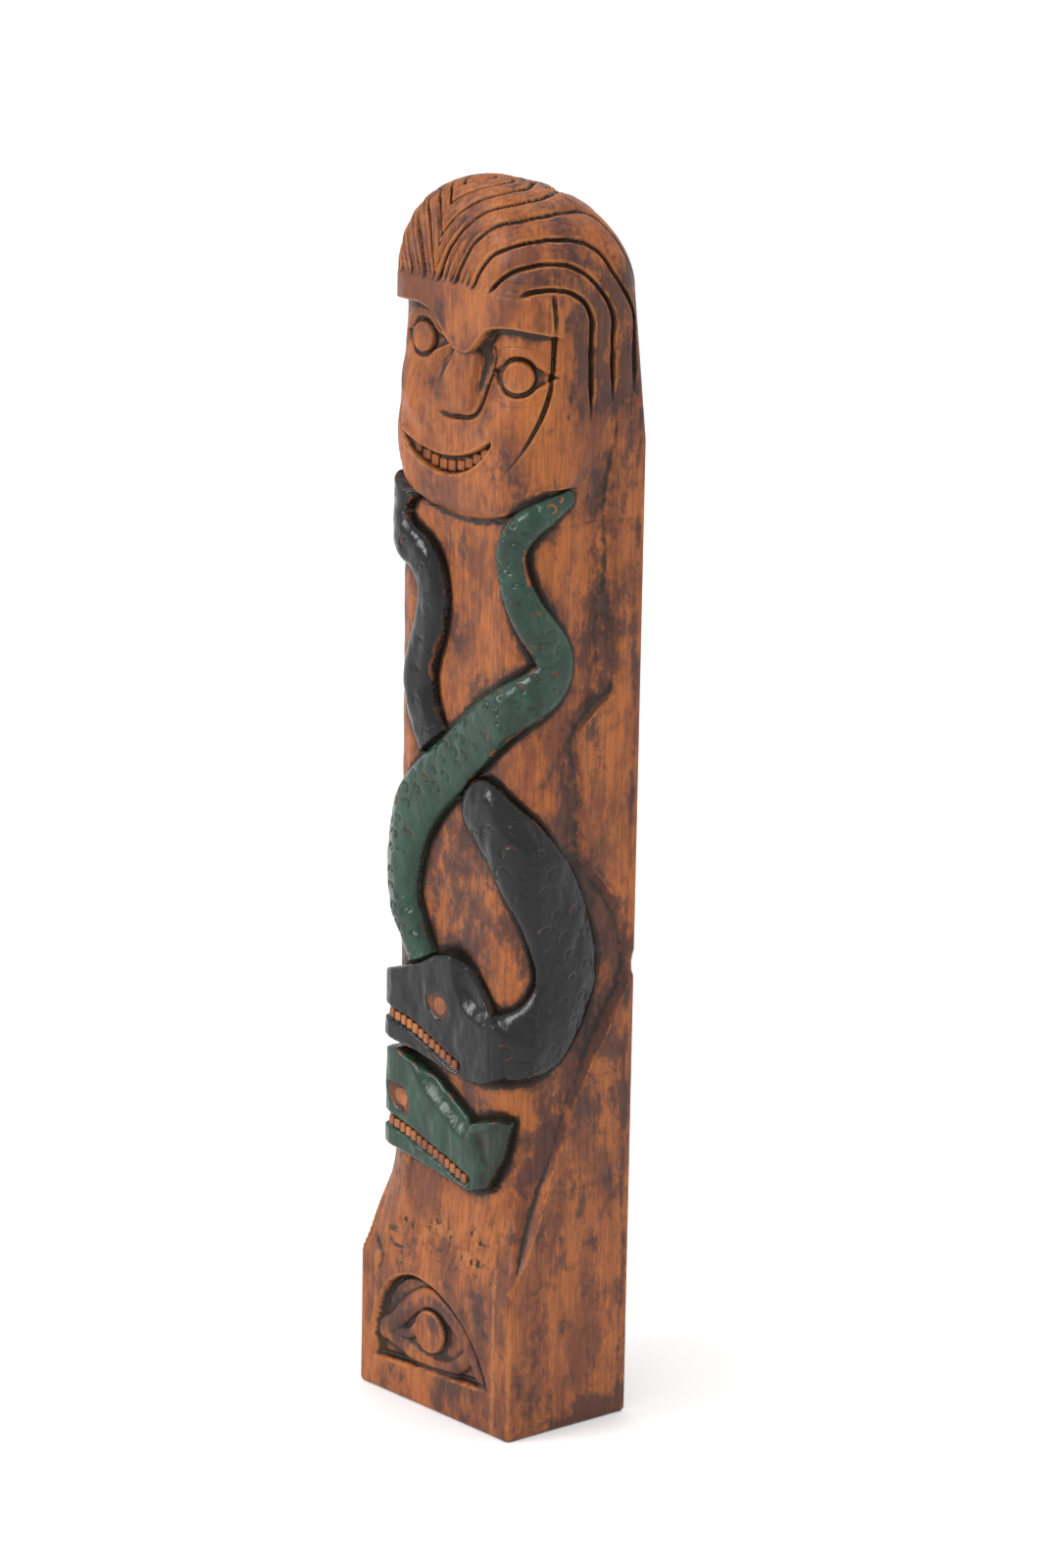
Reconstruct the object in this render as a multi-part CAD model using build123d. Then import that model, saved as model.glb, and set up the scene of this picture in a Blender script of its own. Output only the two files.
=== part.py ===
"""Carved and painted wooden post: a head, two entwined snakes and a plinth with an eye.

The post is cut from one length of sawn timber.  Every carved or painted feature is a
solid of its own here, and each meets its neighbours face to face.
Frame: millimetres, +Z up, the front looks along -Y, the origin is the middle of the foot.
"""
import os
from math import cos, pi, sin, sqrt

from build123d import *

# ---- the block of timber, and the three zones stacked along it -------------------------
block_width = 75.0            # across the front, X
block_depth = 50.0            # front to back, Y
plinth_height = 80.0          # foot to the top of the sloping shoulder
shaft_height = 216.0          # shoulder to the underside of the chin
head_height = 104.0           # chin to crown

# ---- plinth ----------------------------------------------------------------------------
plinth_front_height = 44.0    # the front stands upright to here, then slopes back
plinth_arris = 0.6            # flat worn along the two front arrises
panel_foot = 10.0             # sunk panel: height of its straight foot
panel_wall = 13.0             # height of the upright sides of the panel above its foot
panel_half_width = 28.0
panel_rise = 18.0             # rise of the arch above the upright sides
panel_depth = 2.5
eye_height = 26.0             # centre of the carved eye above the floor
eye_half_length = 19.0
eye_half_opening = 9.0
lid_width = 3.0
lid_stands_below_face = 0.6   # lids lie this far under the front of the plinth
big_iris_radius = 6.5
big_iris_thickness = 2.2

# ---- shaft -----------------------------------------------------------------------------
relief = 5.0                  # depth from the block's front down to the carved ground
side_inset = 1.5              # depth from the block's sides down to the carved ground
corner_radius = 17.0          # rounding of the ground at the two front corners
shoulder_chamfer = 10.0       # flat across those corners where the shoulder ends
coil_hollow_radius = 25.0     # round hollow in the right side, behind the coil
coil_hollow_depth = 4.5
coil_hollow_level = 0.32      # its middle, as a part of the shaft's height
coil_hollow_from_middle = 2.0

# ---- snakes ----------------------------------------------------------------------------
body_root = 6.0               # bodies are rooted this far below the ground, then trimmed
body_flank = 0.35             # part of the relief that stands upright at a body's edges
body_crown = 0.30             # half-width of the flat crown, as a part of the body's width
crest_margin = 0.2            # least wood between a body's crown and the block's faces
black_head_level = 0.245      # middle of the black head, as a part of the shaft's height
green_head_rise = 19.4        # middle of the green head, above the plinth it rests on
head_outline_round = 3.0
head_chamfer = 1.2
snake_eye_half_length = 3.4
snake_eye_half_height = 2.3
snake_eye_thickness = 1.2
tooth_width = 2.2
tooth_gap = 0.5
tooth_height = 3.0
tooth_thickness = 1.6

# ---- head ------------------------------------------------------------------------------
face_depth = 13.0             # thickness of the face at its middle
face_edge_depth = 4.5         # and at its two sides
face_edge_inset = 4.5         # face edge, inwards from the block's side
face_back = 20.0              # back of the face, from the block's front
face_turn = 3.5               # the features' middle line, to the right of the block's
forehead_height = 76.0        # chin to hairline
chin_radius = 34.0
brow_height = 58.0            # brow, nose, eyes and mouth: heights above the chin
brow_thickness = 7.0
brow_dip = 5.0
brow_stands_out = 4.0
eye_level = 48.0
eye_spacing = 38.0
face_eye_half_length = 9.0
face_eye_half_opening = 5.2
face_lid_width = 1.8
face_eye_depth = 2.0
iris_radius = 3.0
nose_tip_level = 30.0
nose_half_width = 7.5
nose_bridge_half_width = 4.0
mouth_level = 23.0
mouth_half_width = 18.0
mouth_middle = 1.0
mouth_depth = 2.6
lip_sag = 6.0                 # sag of the upper and lower edges of the grin
jaw_sag = 12.0
mouth_tooth_width = 3.4
mouth_tooth_gap = 0.6
mouth_tooth_thickness = 1.6
side_lock_thickness = 3.5
side_lock_length = 42.0
side_lock_strands = 4
hair_front_inset = 4.0
hair_front_round = 20.0
hair_side_round = 20.0
hair_groove_width = 1.4
hair_groove_depth = 1.2
hair_groove_pitch = 7.0

# ---- levels and faces worked out from them ---------------------------------------------
block_height = plinth_height + shaft_height + head_height
chin_level = plinth_height + shaft_height
front = -block_depth / 2
back = block_depth / 2
side = block_width / 2
ground_front = front + relief
ground_side = side - side_inset
flat_half = ground_side - corner_radius
arc_length = corner_radius * pi / 2
corner_y = ground_front + corner_radius


def block(z0, z1, x0=-side, x1=side, y0=front, y1=back):
    """A plain box between the given faces."""
    box = Box(x1 - x0, y1 - y0, z1 - z0)
    return Pos((x0 + x1) / 2, (y0 + y1) / 2, (z0 + z1) / 2) * box


def up(part_of_shaft):
    """Height of a point on the shaft, given as a part of the shaft's height."""
    return plinth_height + part_of_shaft * shaft_height


def upright(face, y0, y1):
    """Extrude an outline drawn in X and Z along Y, from y0 to y1."""
    return extrude(Plane((0, y1, 0), x_dir=(1, 0, 0), z_dir=(0, -1, 0)) * face, y1 - y0)


def loop(points):
    """A flat face with straight edges through the points."""
    return make_face(Polyline(*points, close=True))


def almond(half_length, half_height):
    """An eye's outline: two arcs that meet in a point at each corner."""
    left, right = (-half_length, 0), (half_length, 0)
    upper = ThreePointArc(left, (0, half_height), right)
    lower = ThreePointArc(right, (0, -half_height), left)
    return make_face([upper, lower])


def ground_section():
    """Plan of the carved ground: square at the back, rounded at the front corners."""
    edges = [
        Line((-ground_side, back), (ground_side, back)),
        Line((ground_side, back), (ground_side, corner_y)),
        RadiusArc((ground_side, corner_y), (flat_half, ground_front), corner_radius),
        Line((flat_half, ground_front), (-flat_half, ground_front)),
        RadiusArc((-flat_half, ground_front), (-ground_side, corner_y), corner_radius),
        Line((-ground_side, corner_y), (-ground_side, back)),
    ]
    return make_face(edges)


def on_ground(across, z):
    """Point on the ground and its outward direction; across follows the surface in plan."""
    sign = 1 if across >= 0 else -1
    run = abs(across)
    if run <= flat_half:
        return Vector(across, ground_front, z), Vector(0, -1, 0)
    if run <= flat_half + arc_length:
        turn = (run - flat_half) / corner_radius
        out = Vector(sign * sin(turn), -cos(turn), 0)
        return Vector(sign * flat_half, corner_y, z) + out * corner_radius, out
    beyond = run - flat_half - arc_length
    return Vector(sign * ground_side, corner_y + beyond, z), Vector(sign, 0, 0)


def crest(point, out):
    """Height of a body's crest above the ground, kept inside the block of timber."""
    room = relief - crest_margin
    if abs(out.X) > 0.01:
        room = min(room, (side - crest_margin - abs(point.X)) / abs(out.X))
    if abs(out.Y) > 0.01:
        room = min(room, (point.Y - front - crest_margin) / abs(out.Y))
    return room


def snake_body(stations):
    """A ruled loft on the ground through (across, part of shaft height, width) stations."""
    places = [on_ground(across, up(level)) for across, level, width in stations]
    sections = []
    for i, (across, level, width) in enumerate(stations):
        point, out = places[i]
        before = places[max(i - 1, 0)][0]
        after = places[min(i + 1, len(places) - 1)][0]
        along = (after - before).normalized()
        over = out.cross(along).normalized()
        top = crest(point, out)
        half = width / 2
        profile = [
            (-half, -body_root), (half, -body_root), (half, body_flank * top),
            (body_crown * width, top), (-body_crown * width, top), (-half, body_flank * top),
        ]
        corners = [point + over * x + out * y for x, y in profile]
        sections.append(Face(Wire.make_polygon(corners, close=True)))
    return loft(sections, ruled=True) & block(plinth_height, block_height)


def keep_largest(shape):
    """The largest solid of a trimmed shape."""
    return max(shape.solids(), key=lambda solid: solid.volume)


# ---- plinth ----------------------------------------------------------------------------
def plinth_section(z, x, y, chamfer):
    """Plan of the plinth at one height, with a flat across its two front corners."""
    points = [
        (-x, back, z), (x, back, z), (x, y + chamfer, z),
        (x - chamfer, y, z), (-x + chamfer, y, z), (-x, y + chamfer, z),
    ]
    return Face(Wire.make_polygon([Vector(*p) for p in points], close=True))


def panel_outline(inset=0.0):
    """The sunk panel: a straight foot, upright sides and an arched top."""
    half = panel_half_width - inset
    foot = panel_foot + inset
    spring = panel_foot + panel_wall
    top = spring + panel_rise - inset
    edges = [
        Line((-half, spring), (-half, foot)),
        Line((-half, foot), (half, foot)),
        Line((half, foot), (half, spring)),
        ThreePointArc((half, spring), (0, top), (-half, spring)),
    ]
    return make_face(edges)


def make_plinth():
    sections = [
        plinth_section(0, side, front, plinth_arris),
        plinth_section(plinth_front_height, side, front, plinth_arris),
        plinth_section(plinth_height, ground_side, ground_front, shoulder_chamfer),
    ]
    body = loft(sections, ruled=True)
    return body - upright(panel_outline(), front - 1, front + panel_depth)


def make_plinth_eye():
    """The almond lids and the round iris that stand on the panel's floor."""
    floor = front + panel_depth
    outer = Pos(0, eye_height) * almond(eye_half_length, eye_half_opening)
    inner = Pos(0, eye_height) * almond(eye_half_length - lid_width * 2, eye_half_opening - lid_width)
    iris_disc = Pos(0, eye_height) * Circle(big_iris_radius)
    iris = upright(iris_disc, floor - big_iris_thickness, floor)
    lids = upright(outer - inner - iris_disc, front + lid_stands_below_face, floor)
    return lids, iris


# ---- shaft -----------------------------------------------------------------------------
def make_shaft():
    shaft = extrude(Pos(0, 0, plinth_height) * ground_section(), shaft_height)
    rear_edge = coil_hollow_radius - coil_hollow_from_middle
    hollow_x = side - coil_hollow_depth
    hollow = Rot(0, 90, 0) * Cylinder(coil_hollow_radius, coil_hollow_depth * 2)
    hollow_middle = min(-coil_hollow_from_middle, back - rear_edge)
    hollow = Pos(hollow_x + coil_hollow_depth, hollow_middle, up(coil_hollow_level)) * hollow
    return shaft - hollow


# ---- snakes ----------------------------------------------------------------------------
# Stations: distance across the ground from the middle of the front, height as a part of
# the shaft's height, and the width of the body there.
green_body_path = [
    (42, 0.985, 7), (36, 1.00 - 0.04, 9), (27, 0.96 - 0.03, 10), (25, 0.90, 10), (29, 0.85, 11),
    (38, 0.80, 12), (40, 0.76, 13), (34, 0.73, 14), (15, 0.67, 17), (-1, 0.61, 18),
    (-13, 0.55, 18), (-20, 0.48, 17), (-22, 0.41, 15), (-18, 0.36, 13), (-12, 0.28, 12),
]
black_tail_path = [
    (-15, 0.98, 9), (-24, 0.96, 11), (-18, 0.92, 12), (-11, 0.89, 12), (-10, 0.85, 12),
    (-14, 0.79, 12), (-17, 0.74, 12), (-15, 0.69, 12), (-8, 0.64, 12),
]
black_coil_path = [
    (13, 0.60, 14), (19, 0.56, 18), (26, 0.52, 19), (33, 0.47, 20), (41, 0.40, 20),
    (46, 0.34, 20), (44, 0.29, 19), (37, 0.25, 18), (29, 0.22, 17), (20, 0.215, 17),
]


def front_head(points):
    """A head carved flat on the front of the block, its outer edges chamfered."""
    outline = fillet(loop(points).vertices(), head_outline_round)
    solid = upright(outline, front, ground_front + corner_radius / 2)
    rim = solid.faces().sort_by(Axis.Y)[0].edges()
    return chamfer(rim, head_chamfer)


def black_head_outline():
    """Snout to the left, brow above the eye, the nape running into the coil."""
    z = up(black_head_level)
    return [(-24, z - 11), (-24, z + 9), (-12, z + 12), (4, z + 22), (12, z + 15), (23, z + 6),
            (24, z - 12), (12, z - 19), (6, z - 16)]


def green_head_outline():
    z = plinth_height + green_head_rise
    return [(-24, z - 11), (-23, z + 18), (-2, z + 14), (14, z + 2), (28, z + 4), (22, z - 18),
            (12, z - 20)]


def mouth_slot(left, right, height_left, height_right):
    """The strip that holds a snake's teeth, cut in from the front of the head."""
    half = tooth_height / 2
    strip = loop([(left, height_left - half), (right, height_right - half),
                  (right, height_right + half), (left, height_left + half)])
    return upright(strip, front - 1, front + tooth_thickness + 0.8)


def tooth_row(left, right, height_left, height_right):
    """Separate teeth side by side on the floor of the slot."""
    floor = front + tooth_thickness + 0.8
    pitch = tooth_width + tooth_gap
    count = int((right - left - tooth_gap) / pitch)
    slope = (height_right - height_left) / (right - left)
    teeth = []
    for i in range(count):
        x0 = left + tooth_gap + i * pitch
        x1 = x0 + tooth_width
        z0 = height_left + slope * (x0 - left)
        z1 = height_left + slope * (x1 - left)
        half = tooth_height / 2
        tooth = loop([(x0, z0 - half), (x1, z1 - half), (x1, z1 + half), (x0, z0 + half)])
        teeth.append(upright(tooth, floor - tooth_thickness, floor))
    return Compound(teeth)


def jaw_zone(left, right, height_left, height_right):
    """Everything below the middle of a mouth slot, as far as its right end."""
    floor = plinth_height / 2
    wall = loop([(left, height_left), (right, height_right), (right, floor), (left, floor)])
    return upright(wall, front - 1, back)


def snake_head(outline, slot, eye_at):
    """Head, lower jaw, teeth and eye of one snake."""
    head = front_head(outline)
    eye_outline = Pos(*eye_at) * Ellipse(snake_eye_half_length, snake_eye_half_height)
    eye = upright(eye_outline, front, front + snake_eye_thickness)
    head = head - eye - mouth_slot(*slot)
    zone = jaw_zone(*slot)
    return head - zone, head & zone, tooth_row(*slot), eye


# ---- head ------------------------------------------------------------------------------
def face_plan(grow=0.0):
    """Plan of the face: flat behind, a shallow arc in front."""
    half = side - face_edge_inset
    rear = front + face_back
    edge = rear - face_edge_depth - grow
    middle = rear - face_depth - grow
    edges = [
        Line((-half, rear), (half, rear)), Line((half, rear), (half, edge)),
        ThreePointArc((half, edge), (0, middle), (-half, edge)), Line((-half, edge), (-half, rear)),
    ]
    return make_face(edges)


def face_outline():
    """The face from the front: a round chin and upright cheeks up to the hairline."""
    half = side - face_edge_inset
    drop = chin_radius - sqrt(max(chin_radius ** 2 - half ** 2, 0.0))
    cheek = chin_level + drop
    top = chin_level + forehead_height
    edges = [
        ThreePointArc((-half, cheek), (0, chin_level), (half, cheek)),
        Line((half, cheek), (half, top)), Line((half, top), (-half, top)),
        Line((-half, top), (-half, cheek)),
    ]
    return make_face(edges)


def face_solid(grow=0.0):
    tall = extrude(Pos(0, 0, chin_level) * face_plan(grow), forehead_height)
    return tall & upright(face_outline(), front - 1, back)


def grin():
    """A crescent between two arcs that share their corners."""
    z = chin_level + mouth_level
    x = mouth_middle
    left, right = (x - mouth_half_width, z), (x + mouth_half_width, z)
    upper = ThreePointArc(left, (x, z - lip_sag), right)
    lower = ThreePointArc(right, (x, z - jaw_sag), left)
    return make_face([upper, lower])


def eye_places():
    """Middle of each eye, in X and Z."""
    return [(face_turn + sign * eye_spacing / 2, chin_level + eye_level) for sign in (-1, 1)]


def make_face_parts():
    """Face, lids, irises, teeth, brow and nose."""
    whole = face_solid()
    floor_eye = face_solid(-face_eye_depth)
    floor_mouth = face_solid(-mouth_depth)
    face = whole
    lids, irises = [], []
    for x, z in eye_places():
        outer = Pos(x, z) * almond(face_eye_half_length, face_eye_half_opening)
        inner_length = face_eye_half_length - face_lid_width * 2
        inner = Pos(x, z) * almond(inner_length, face_eye_half_opening - face_lid_width)
        disc = Pos(x, z) * Circle(iris_radius)
        face = face - (upright(outer, front - 1, back) - floor_eye)
        lids.append((upright(outer - inner, front, back) & whole) - floor_eye)
        irises.append((upright(disc, front, back) & face_solid(-face_eye_depth / 3)) - floor_eye)
    face = face - (upright(grin(), front - 1, back) - floor_mouth)
    teeth = []
    pitch = mouth_tooth_width + mouth_tooth_gap
    count = int(2 * (mouth_half_width - 3) / pitch)
    band = face_solid(mouth_tooth_thickness - mouth_depth) - floor_mouth
    for i in range(count):
        x0 = mouth_middle + (i - count / 2) * pitch + mouth_tooth_gap / 2
        slot = block(chin_level, chin_level + mouth_level, x0, x0 + mouth_tooth_width)
        tooth = band & slot & upright(grin(), front - 1, back)
        teeth.append(keep_largest(tooth))
    return face, Compound(lids), Compound(irises), Compound(teeth), whole


def make_brow(face_whole):
    half = side - face_edge_inset
    z = chin_level + brow_height
    lower = ThreePointArc((-half, z), (face_turn, z - brow_dip), (half, z))
    top = z + brow_thickness
    edges = [lower, Line((half, z), (half, top)), Line((half, top), (-half, top)),
             Line((-half, top), (-half, z))]
    bar = upright(make_face(edges), front, back) & face_solid(brow_stands_out)
    return bar - face_whole


def make_nose(face_whole, brow):
    """A wedge whose tip reaches the front of the block."""
    base = chin_level + nose_tip_level
    top = chin_level + brow_height + brow_thickness / 2
    rear = front + face_back
    foot = [(-nose_half_width, rear, base), (nose_half_width, rear, base),
            (nose_half_width * 0.75, front, base), (-nose_half_width * 0.75, front, base)]
    bridge = [(-nose_bridge_half_width, rear, top), (nose_bridge_half_width, rear, top),
              (nose_bridge_half_width * 0.7, front + relief, top),
              (-nose_bridge_half_width * 0.7, front + relief, top)]
    rings = [Wire.make_polygon([Vector(*p) for p in ring], close=True) for ring in (foot, bridge)]
    wedge = loft([Face(ring) for ring in rings], ruled=True)
    return Pos(face_turn, 0, 0) * wedge - face_whole - brow


def make_head_core():
    """The plain wood behind the face, with flats that take the locks at each side."""
    rear = front + face_back
    lower = block(chin_level, chin_level + forehead_height, -ground_side, ground_side, rear, back)
    lock_foot = chin_level + forehead_height - side_lock_length
    lock_face = side - side_lock_thickness
    for sign in (-1, 1):
        x0, x1 = sorted((sign * lock_face, sign * (side + 1)))
        lower = lower - block(lock_foot, block_height, x0, x1, rear, back)
    return lower


def make_side_lock(sign):
    """Hair beside the temple: four strands whose lower ends step down to the back."""
    rear = front + face_back
    run = (back - rear) / side_lock_strands
    top = chin_level + forehead_height
    lock = None
    for i in range(side_lock_strands):
        foot = top - side_lock_length * (0.75 + 0.25 * i / (side_lock_strands - 1))
        x0, x1 = sorted((sign * (side - side_lock_thickness), sign * side))
        strand = block(foot, top, x0, x1, rear + i * run, rear + (i + 1) * run)
        lock = strand if lock is None else lock + strand
    for i in range(1, side_lock_strands):
        y = rear + i * run
        x0, x1 = sorted((sign * (side - hair_groove_depth), sign * (side + 1)))
        lock = lock - block(top - side_lock_length, top, x0, x1,
                            y - hair_groove_width / 2, y + hair_groove_width / 2)
    return lock


def make_hair_cap():
    """The domed crown, with grooves that run from the hairline to the back."""
    foot = chin_level + forehead_height
    room = block_height - foot - crest_margin
    hairline = front + hair_front_inset
    across = block(foot, block_height, y0=hairline)
    across = fillet(across.edges().filter_by(Axis.Y).group_by(Axis.Z)[-1], min(hair_side_round, room))
    along = block(foot, block_height, y0=hairline)
    along = fillet(along.edges().filter_by(Axis.X).group_by(Axis.Z)[-1], min(hair_front_round, room))
    cap = across & along
    half_flat = side - hair_side_round
    count = int(half_flat / hair_groove_pitch)
    for i in range(-count, count + 1):
        x0 = i * hair_groove_pitch - hair_groove_width / 2
        cap = cap - block(block_height - hair_groove_depth, block_height + 1,
                          x0, x0 + hair_groove_width, front - 1, back + 1)
    return cap


# ---- put the pieces together -----------------------------------------------------------
plinth = make_plinth()
eye_lids, eye_iris = make_plinth_eye()
shaft = make_shaft()

black_z = up(black_head_level)
green_z = plinth_height + green_head_rise
black_head, black_jaw, black_teeth, black_eye = snake_head(
    black_head_outline(), (-25, 8, black_z - 5, black_z - 12), (0.5, black_z + 3))
green_head, green_jaw, green_teeth, green_eye = snake_head(
    green_head_outline(), (-25, 14, green_z - 8, green_z - 15), (-18, green_z + 3))

green_body = keep_largest(snake_body(green_body_path) - shaft - black_head - green_head)
black_coil = keep_largest(snake_body(black_coil_path) - shaft - black_head - green_body)
black_tail = keep_largest(snake_body(black_tail_path) - shaft - green_body - black_coil)
black_head = keep_largest(black_head - shaft)
black_jaw = keep_largest(black_jaw - shaft - black_head)
green_head = keep_largest(green_head - shaft - plinth - black_jaw - black_head)
green_jaw = keep_largest(green_jaw - shaft - green_head - plinth)

face, face_lids, face_irises, face_teeth, face_whole = make_face_parts()
brow = make_brow(face_whole)
nose = make_nose(face_whole, brow)

nodes = {
    "plinth": plinth,
    "plinth_eye_lids": eye_lids,
    "plinth_eye_iris": eye_iris,
    "shaft": shaft,
    "black_snake_tail": black_tail,
    "black_snake_coil": black_coil,
    "black_snake_head": black_head,
    "black_snake_jaw": black_jaw,
    "black_snake_teeth": black_teeth,
    "black_snake_eye": black_eye,
    "green_snake_body": green_body,
    "green_snake_head": green_head,
    "green_snake_jaw": green_jaw,
    "green_snake_teeth": green_teeth,
    "green_snake_eye": green_eye,
    "head_core": make_head_core(),
    "face": face,
    "brow_ridge": brow,
    "nose": nose,
    "eyelids": face_lids,
    "eye_irises": face_irises,
    "mouth_teeth": face_teeth,
    "hair_cap": make_hair_cap(),
    "side_lock_left": make_side_lock(-1),
    "side_lock_right": make_side_lock(1),
}

os.makedirs("parts", exist_ok=True)
for name, shape in nodes.items():
    export_step(shape, f"parts/{name}.step")
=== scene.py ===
# %% [markdown]
# # A carved and painted post
# The real object is one length of sawn timber, 50 by 75 by 400 mm.  A carver cut a grinning
# head, two entwined snakes and an eye into it with gouges, stained it, and painted the
# snakes.  The packed CAD model is the frame: it gives the block, the depth of the relief and
# the levels that the carving hangs on.  Each cell below takes one step of the carver's work.

# %% The frame, and the numbers that everything hangs on
import math

import bpy
import numpy as np
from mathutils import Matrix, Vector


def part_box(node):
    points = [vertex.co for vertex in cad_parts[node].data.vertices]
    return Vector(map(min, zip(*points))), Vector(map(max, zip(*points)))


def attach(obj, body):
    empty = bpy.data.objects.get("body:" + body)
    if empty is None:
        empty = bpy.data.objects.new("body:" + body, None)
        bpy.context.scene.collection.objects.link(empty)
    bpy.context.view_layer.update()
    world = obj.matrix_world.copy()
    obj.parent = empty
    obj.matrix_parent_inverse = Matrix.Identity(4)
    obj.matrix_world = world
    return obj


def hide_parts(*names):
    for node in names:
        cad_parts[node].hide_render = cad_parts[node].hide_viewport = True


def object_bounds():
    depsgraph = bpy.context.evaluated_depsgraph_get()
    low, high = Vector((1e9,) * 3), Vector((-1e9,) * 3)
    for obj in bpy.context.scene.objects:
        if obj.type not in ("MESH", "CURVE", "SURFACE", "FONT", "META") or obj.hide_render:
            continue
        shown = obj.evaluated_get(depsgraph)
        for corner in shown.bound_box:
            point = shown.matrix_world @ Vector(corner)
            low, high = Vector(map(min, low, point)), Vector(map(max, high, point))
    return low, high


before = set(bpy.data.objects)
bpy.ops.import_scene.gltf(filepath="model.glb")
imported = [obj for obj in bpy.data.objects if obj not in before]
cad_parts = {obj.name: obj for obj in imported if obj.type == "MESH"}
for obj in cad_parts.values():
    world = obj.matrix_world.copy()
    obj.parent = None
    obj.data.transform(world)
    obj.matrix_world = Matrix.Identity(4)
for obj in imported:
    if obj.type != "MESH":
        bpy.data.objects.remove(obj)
cad_low, cad_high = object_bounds()

MM = 0.001                                  # the carving is worked out in millimetres


def level(node, corner):
    """Height in millimetres of a CAD node's foot (corner 0) or top (corner 1)."""
    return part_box(node)[corner].z / MM


BLOCK_SIDE = cad_high.x / MM                # half the width
BLOCK_BACK = cad_high.y / MM
BLOCK_FRONT = cad_low.y / MM
CROWN = cad_high.z / MM
SHAFT_FOOT = level("shaft", 0)
CHIN = level("head_core", 0)
HAIRLINE = level("hair_cap", 0)
GROUND_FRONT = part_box("shaft")[0].y / MM    # the ground is cut back to here in front
RELIEF = GROUND_FRONT - BLOCK_FRONT
print("block", BLOCK_SIDE * 2, BLOCK_BACK - BLOCK_FRONT, CROWN, "chin", CHIN, "relief", RELIEF)

# %% [markdown]
# ## The camera and the light
# The post stands on a plain pale floor and is seen from its right-hand front corner, a little
# from above, with a long lens.  The camera comes first, because every choice of detail
# depends on how large it will look.

# %% The camera, and makers for lamps and floor
from mathutils import Matrix, Vector

scene = bpy.context.scene
AZIMUTH, ELEVATION, ROLL = math.radians(49.5), math.radians(14.8), math.radians(1.04)
DISTANCE = 2.0
AIM = Vector((0.0033, 0.0059, 0.2051))      # a point beside the post's middle


def make_camera():
    camera_data = bpy.data.cameras.new("camera")
    camera_data.sensor_fit = "VERTICAL"
    camera_data.sensor_height = 36.0
    camera_data.lens = 144.9
    camera = bpy.data.objects.new("camera", camera_data)
    scene.collection.objects.link(camera)
    towards = Vector((math.sin(AZIMUTH) * math.cos(ELEVATION),
                      -math.cos(AZIMUTH) * math.cos(ELEVATION), math.sin(ELEVATION)))
    camera.location = AIM + towards * DISTANCE
    turn = towards.to_track_quat("Z", "Y").to_matrix().to_4x4()
    camera.matrix_world = Matrix.Translation(camera.location) @ turn @ Matrix.Rotation(ROLL, 4, "Z")
    scene.camera = camera


def area_light(name, place, aim, size, watts, tint=(1, 1, 1)):
    data = bpy.data.lights.new(name, "AREA")
    data.shape = "RECTANGLE"
    data.size, data.size_y = size
    data.energy = watts
    data.color = tint
    light = bpy.data.objects.new(name, data)
    scene.collection.objects.link(light)
    light.location = place
    light.rotation_euler = (Vector(place) - Vector(aim)).to_track_quat("Z", "Y").to_euler()


def make_floor():
    mesh = bpy.data.meshes.new("floor")
    half = 14.0
    mesh.from_pydata([(-half, -half, 0), (half, -half, 0), (half, half, 0), (-half, half, 0)], [],
                     [(0, 1, 2, 3)])
    floor = bpy.data.objects.new("floor", mesh)
    scene.collection.objects.link(floor)
    material = bpy.data.materials.new("pale_floor")
    material.use_nodes = True
    shader = material.node_tree.nodes["Principled BSDF"]
    shader.inputs["Base Color"].default_value = (0.95, 0.95, 0.95, 1)
    shader.inputs["Roughness"].default_value = 0.9
    mesh.materials.append(material)


make_camera()
print("camera", DISTANCE, "m away, 49.5 degrees round and 14.8 up")

# %% [markdown]
# The light is soft and comes from nearly all round, as in a light tent: a pale world, one wide
# key lamp in front on the left, and weak lamps at the right and on top that keep the shadows
# open.  A wide lamp gives the paint its broad soft glints.

# %% Lamps, world and floor
area_light("key", (-0.7, -2.1, 1.5), (0, 0, 0.2), (1.0, 1.0), 33)
area_light("right_fill", (2.2, 0.2, 0.9), (0, 0, 0.2), (0.8, 1.6), 3)
area_light("top", (0.3, 0.2, 2.2), (0, 0, 0.2), (1.2, 1.2), 5)
make_floor()
world = bpy.data.worlds.new("studio")
scene.world = world
world.use_nodes = True
world.node_tree.nodes["Background"].inputs["Color"].default_value = (1, 1, 1, 1)
world.node_tree.nodes["Background"].inputs["Strength"].default_value = 1.1
scene.view_settings.view_transform = "Standard"

# %% [markdown]
# ## The block, unrolled
# A relief carver thinks of the block's skin as a sheet and cuts down from it.  The script does
# the same.  A grid of columns runs round the post and a grid of rows runs up it.  At each
# crossing there is a point on an inner skin, the deepest ground, a direction out of the wood
# and one number: how high the wood still stands there.  Everything below is a drawing on that
# sheet, so shapes stay smooth and sharp and neighbours share one clean border.  Sculpting by
# hand would give the same look, but its sizes could not be read or changed afterwards.

# %% Columns round the post
STEP = 0.4                                  # spacing of the grid, mm
SIDE_INSET = 1.5                            # inner skin below the block's sides and back
CORNER = 17.0                               # rounding of the inner skin's front corners
FLAT = BLOCK_SIDE - SIDE_INSET - CORNER     # half-width of its flat front
BEND = CORNER * math.pi / 2                 # length round one front corner
CORNER_Y = GROUND_FRONT + CORNER
SIDE_RUN = BLOCK_BACK - SIDE_INSET - 1.0 - CORNER_Y
SIDE_END = FLAT + BEND + SIDE_RUN           # across value where a side meets its rear corner
CORNER_STEPS, BACK_STEPS = 6, 24            # columns round a rear corner and across half the back
FRONT_END = 60                              # across value that keeps a drawing off the back


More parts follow.
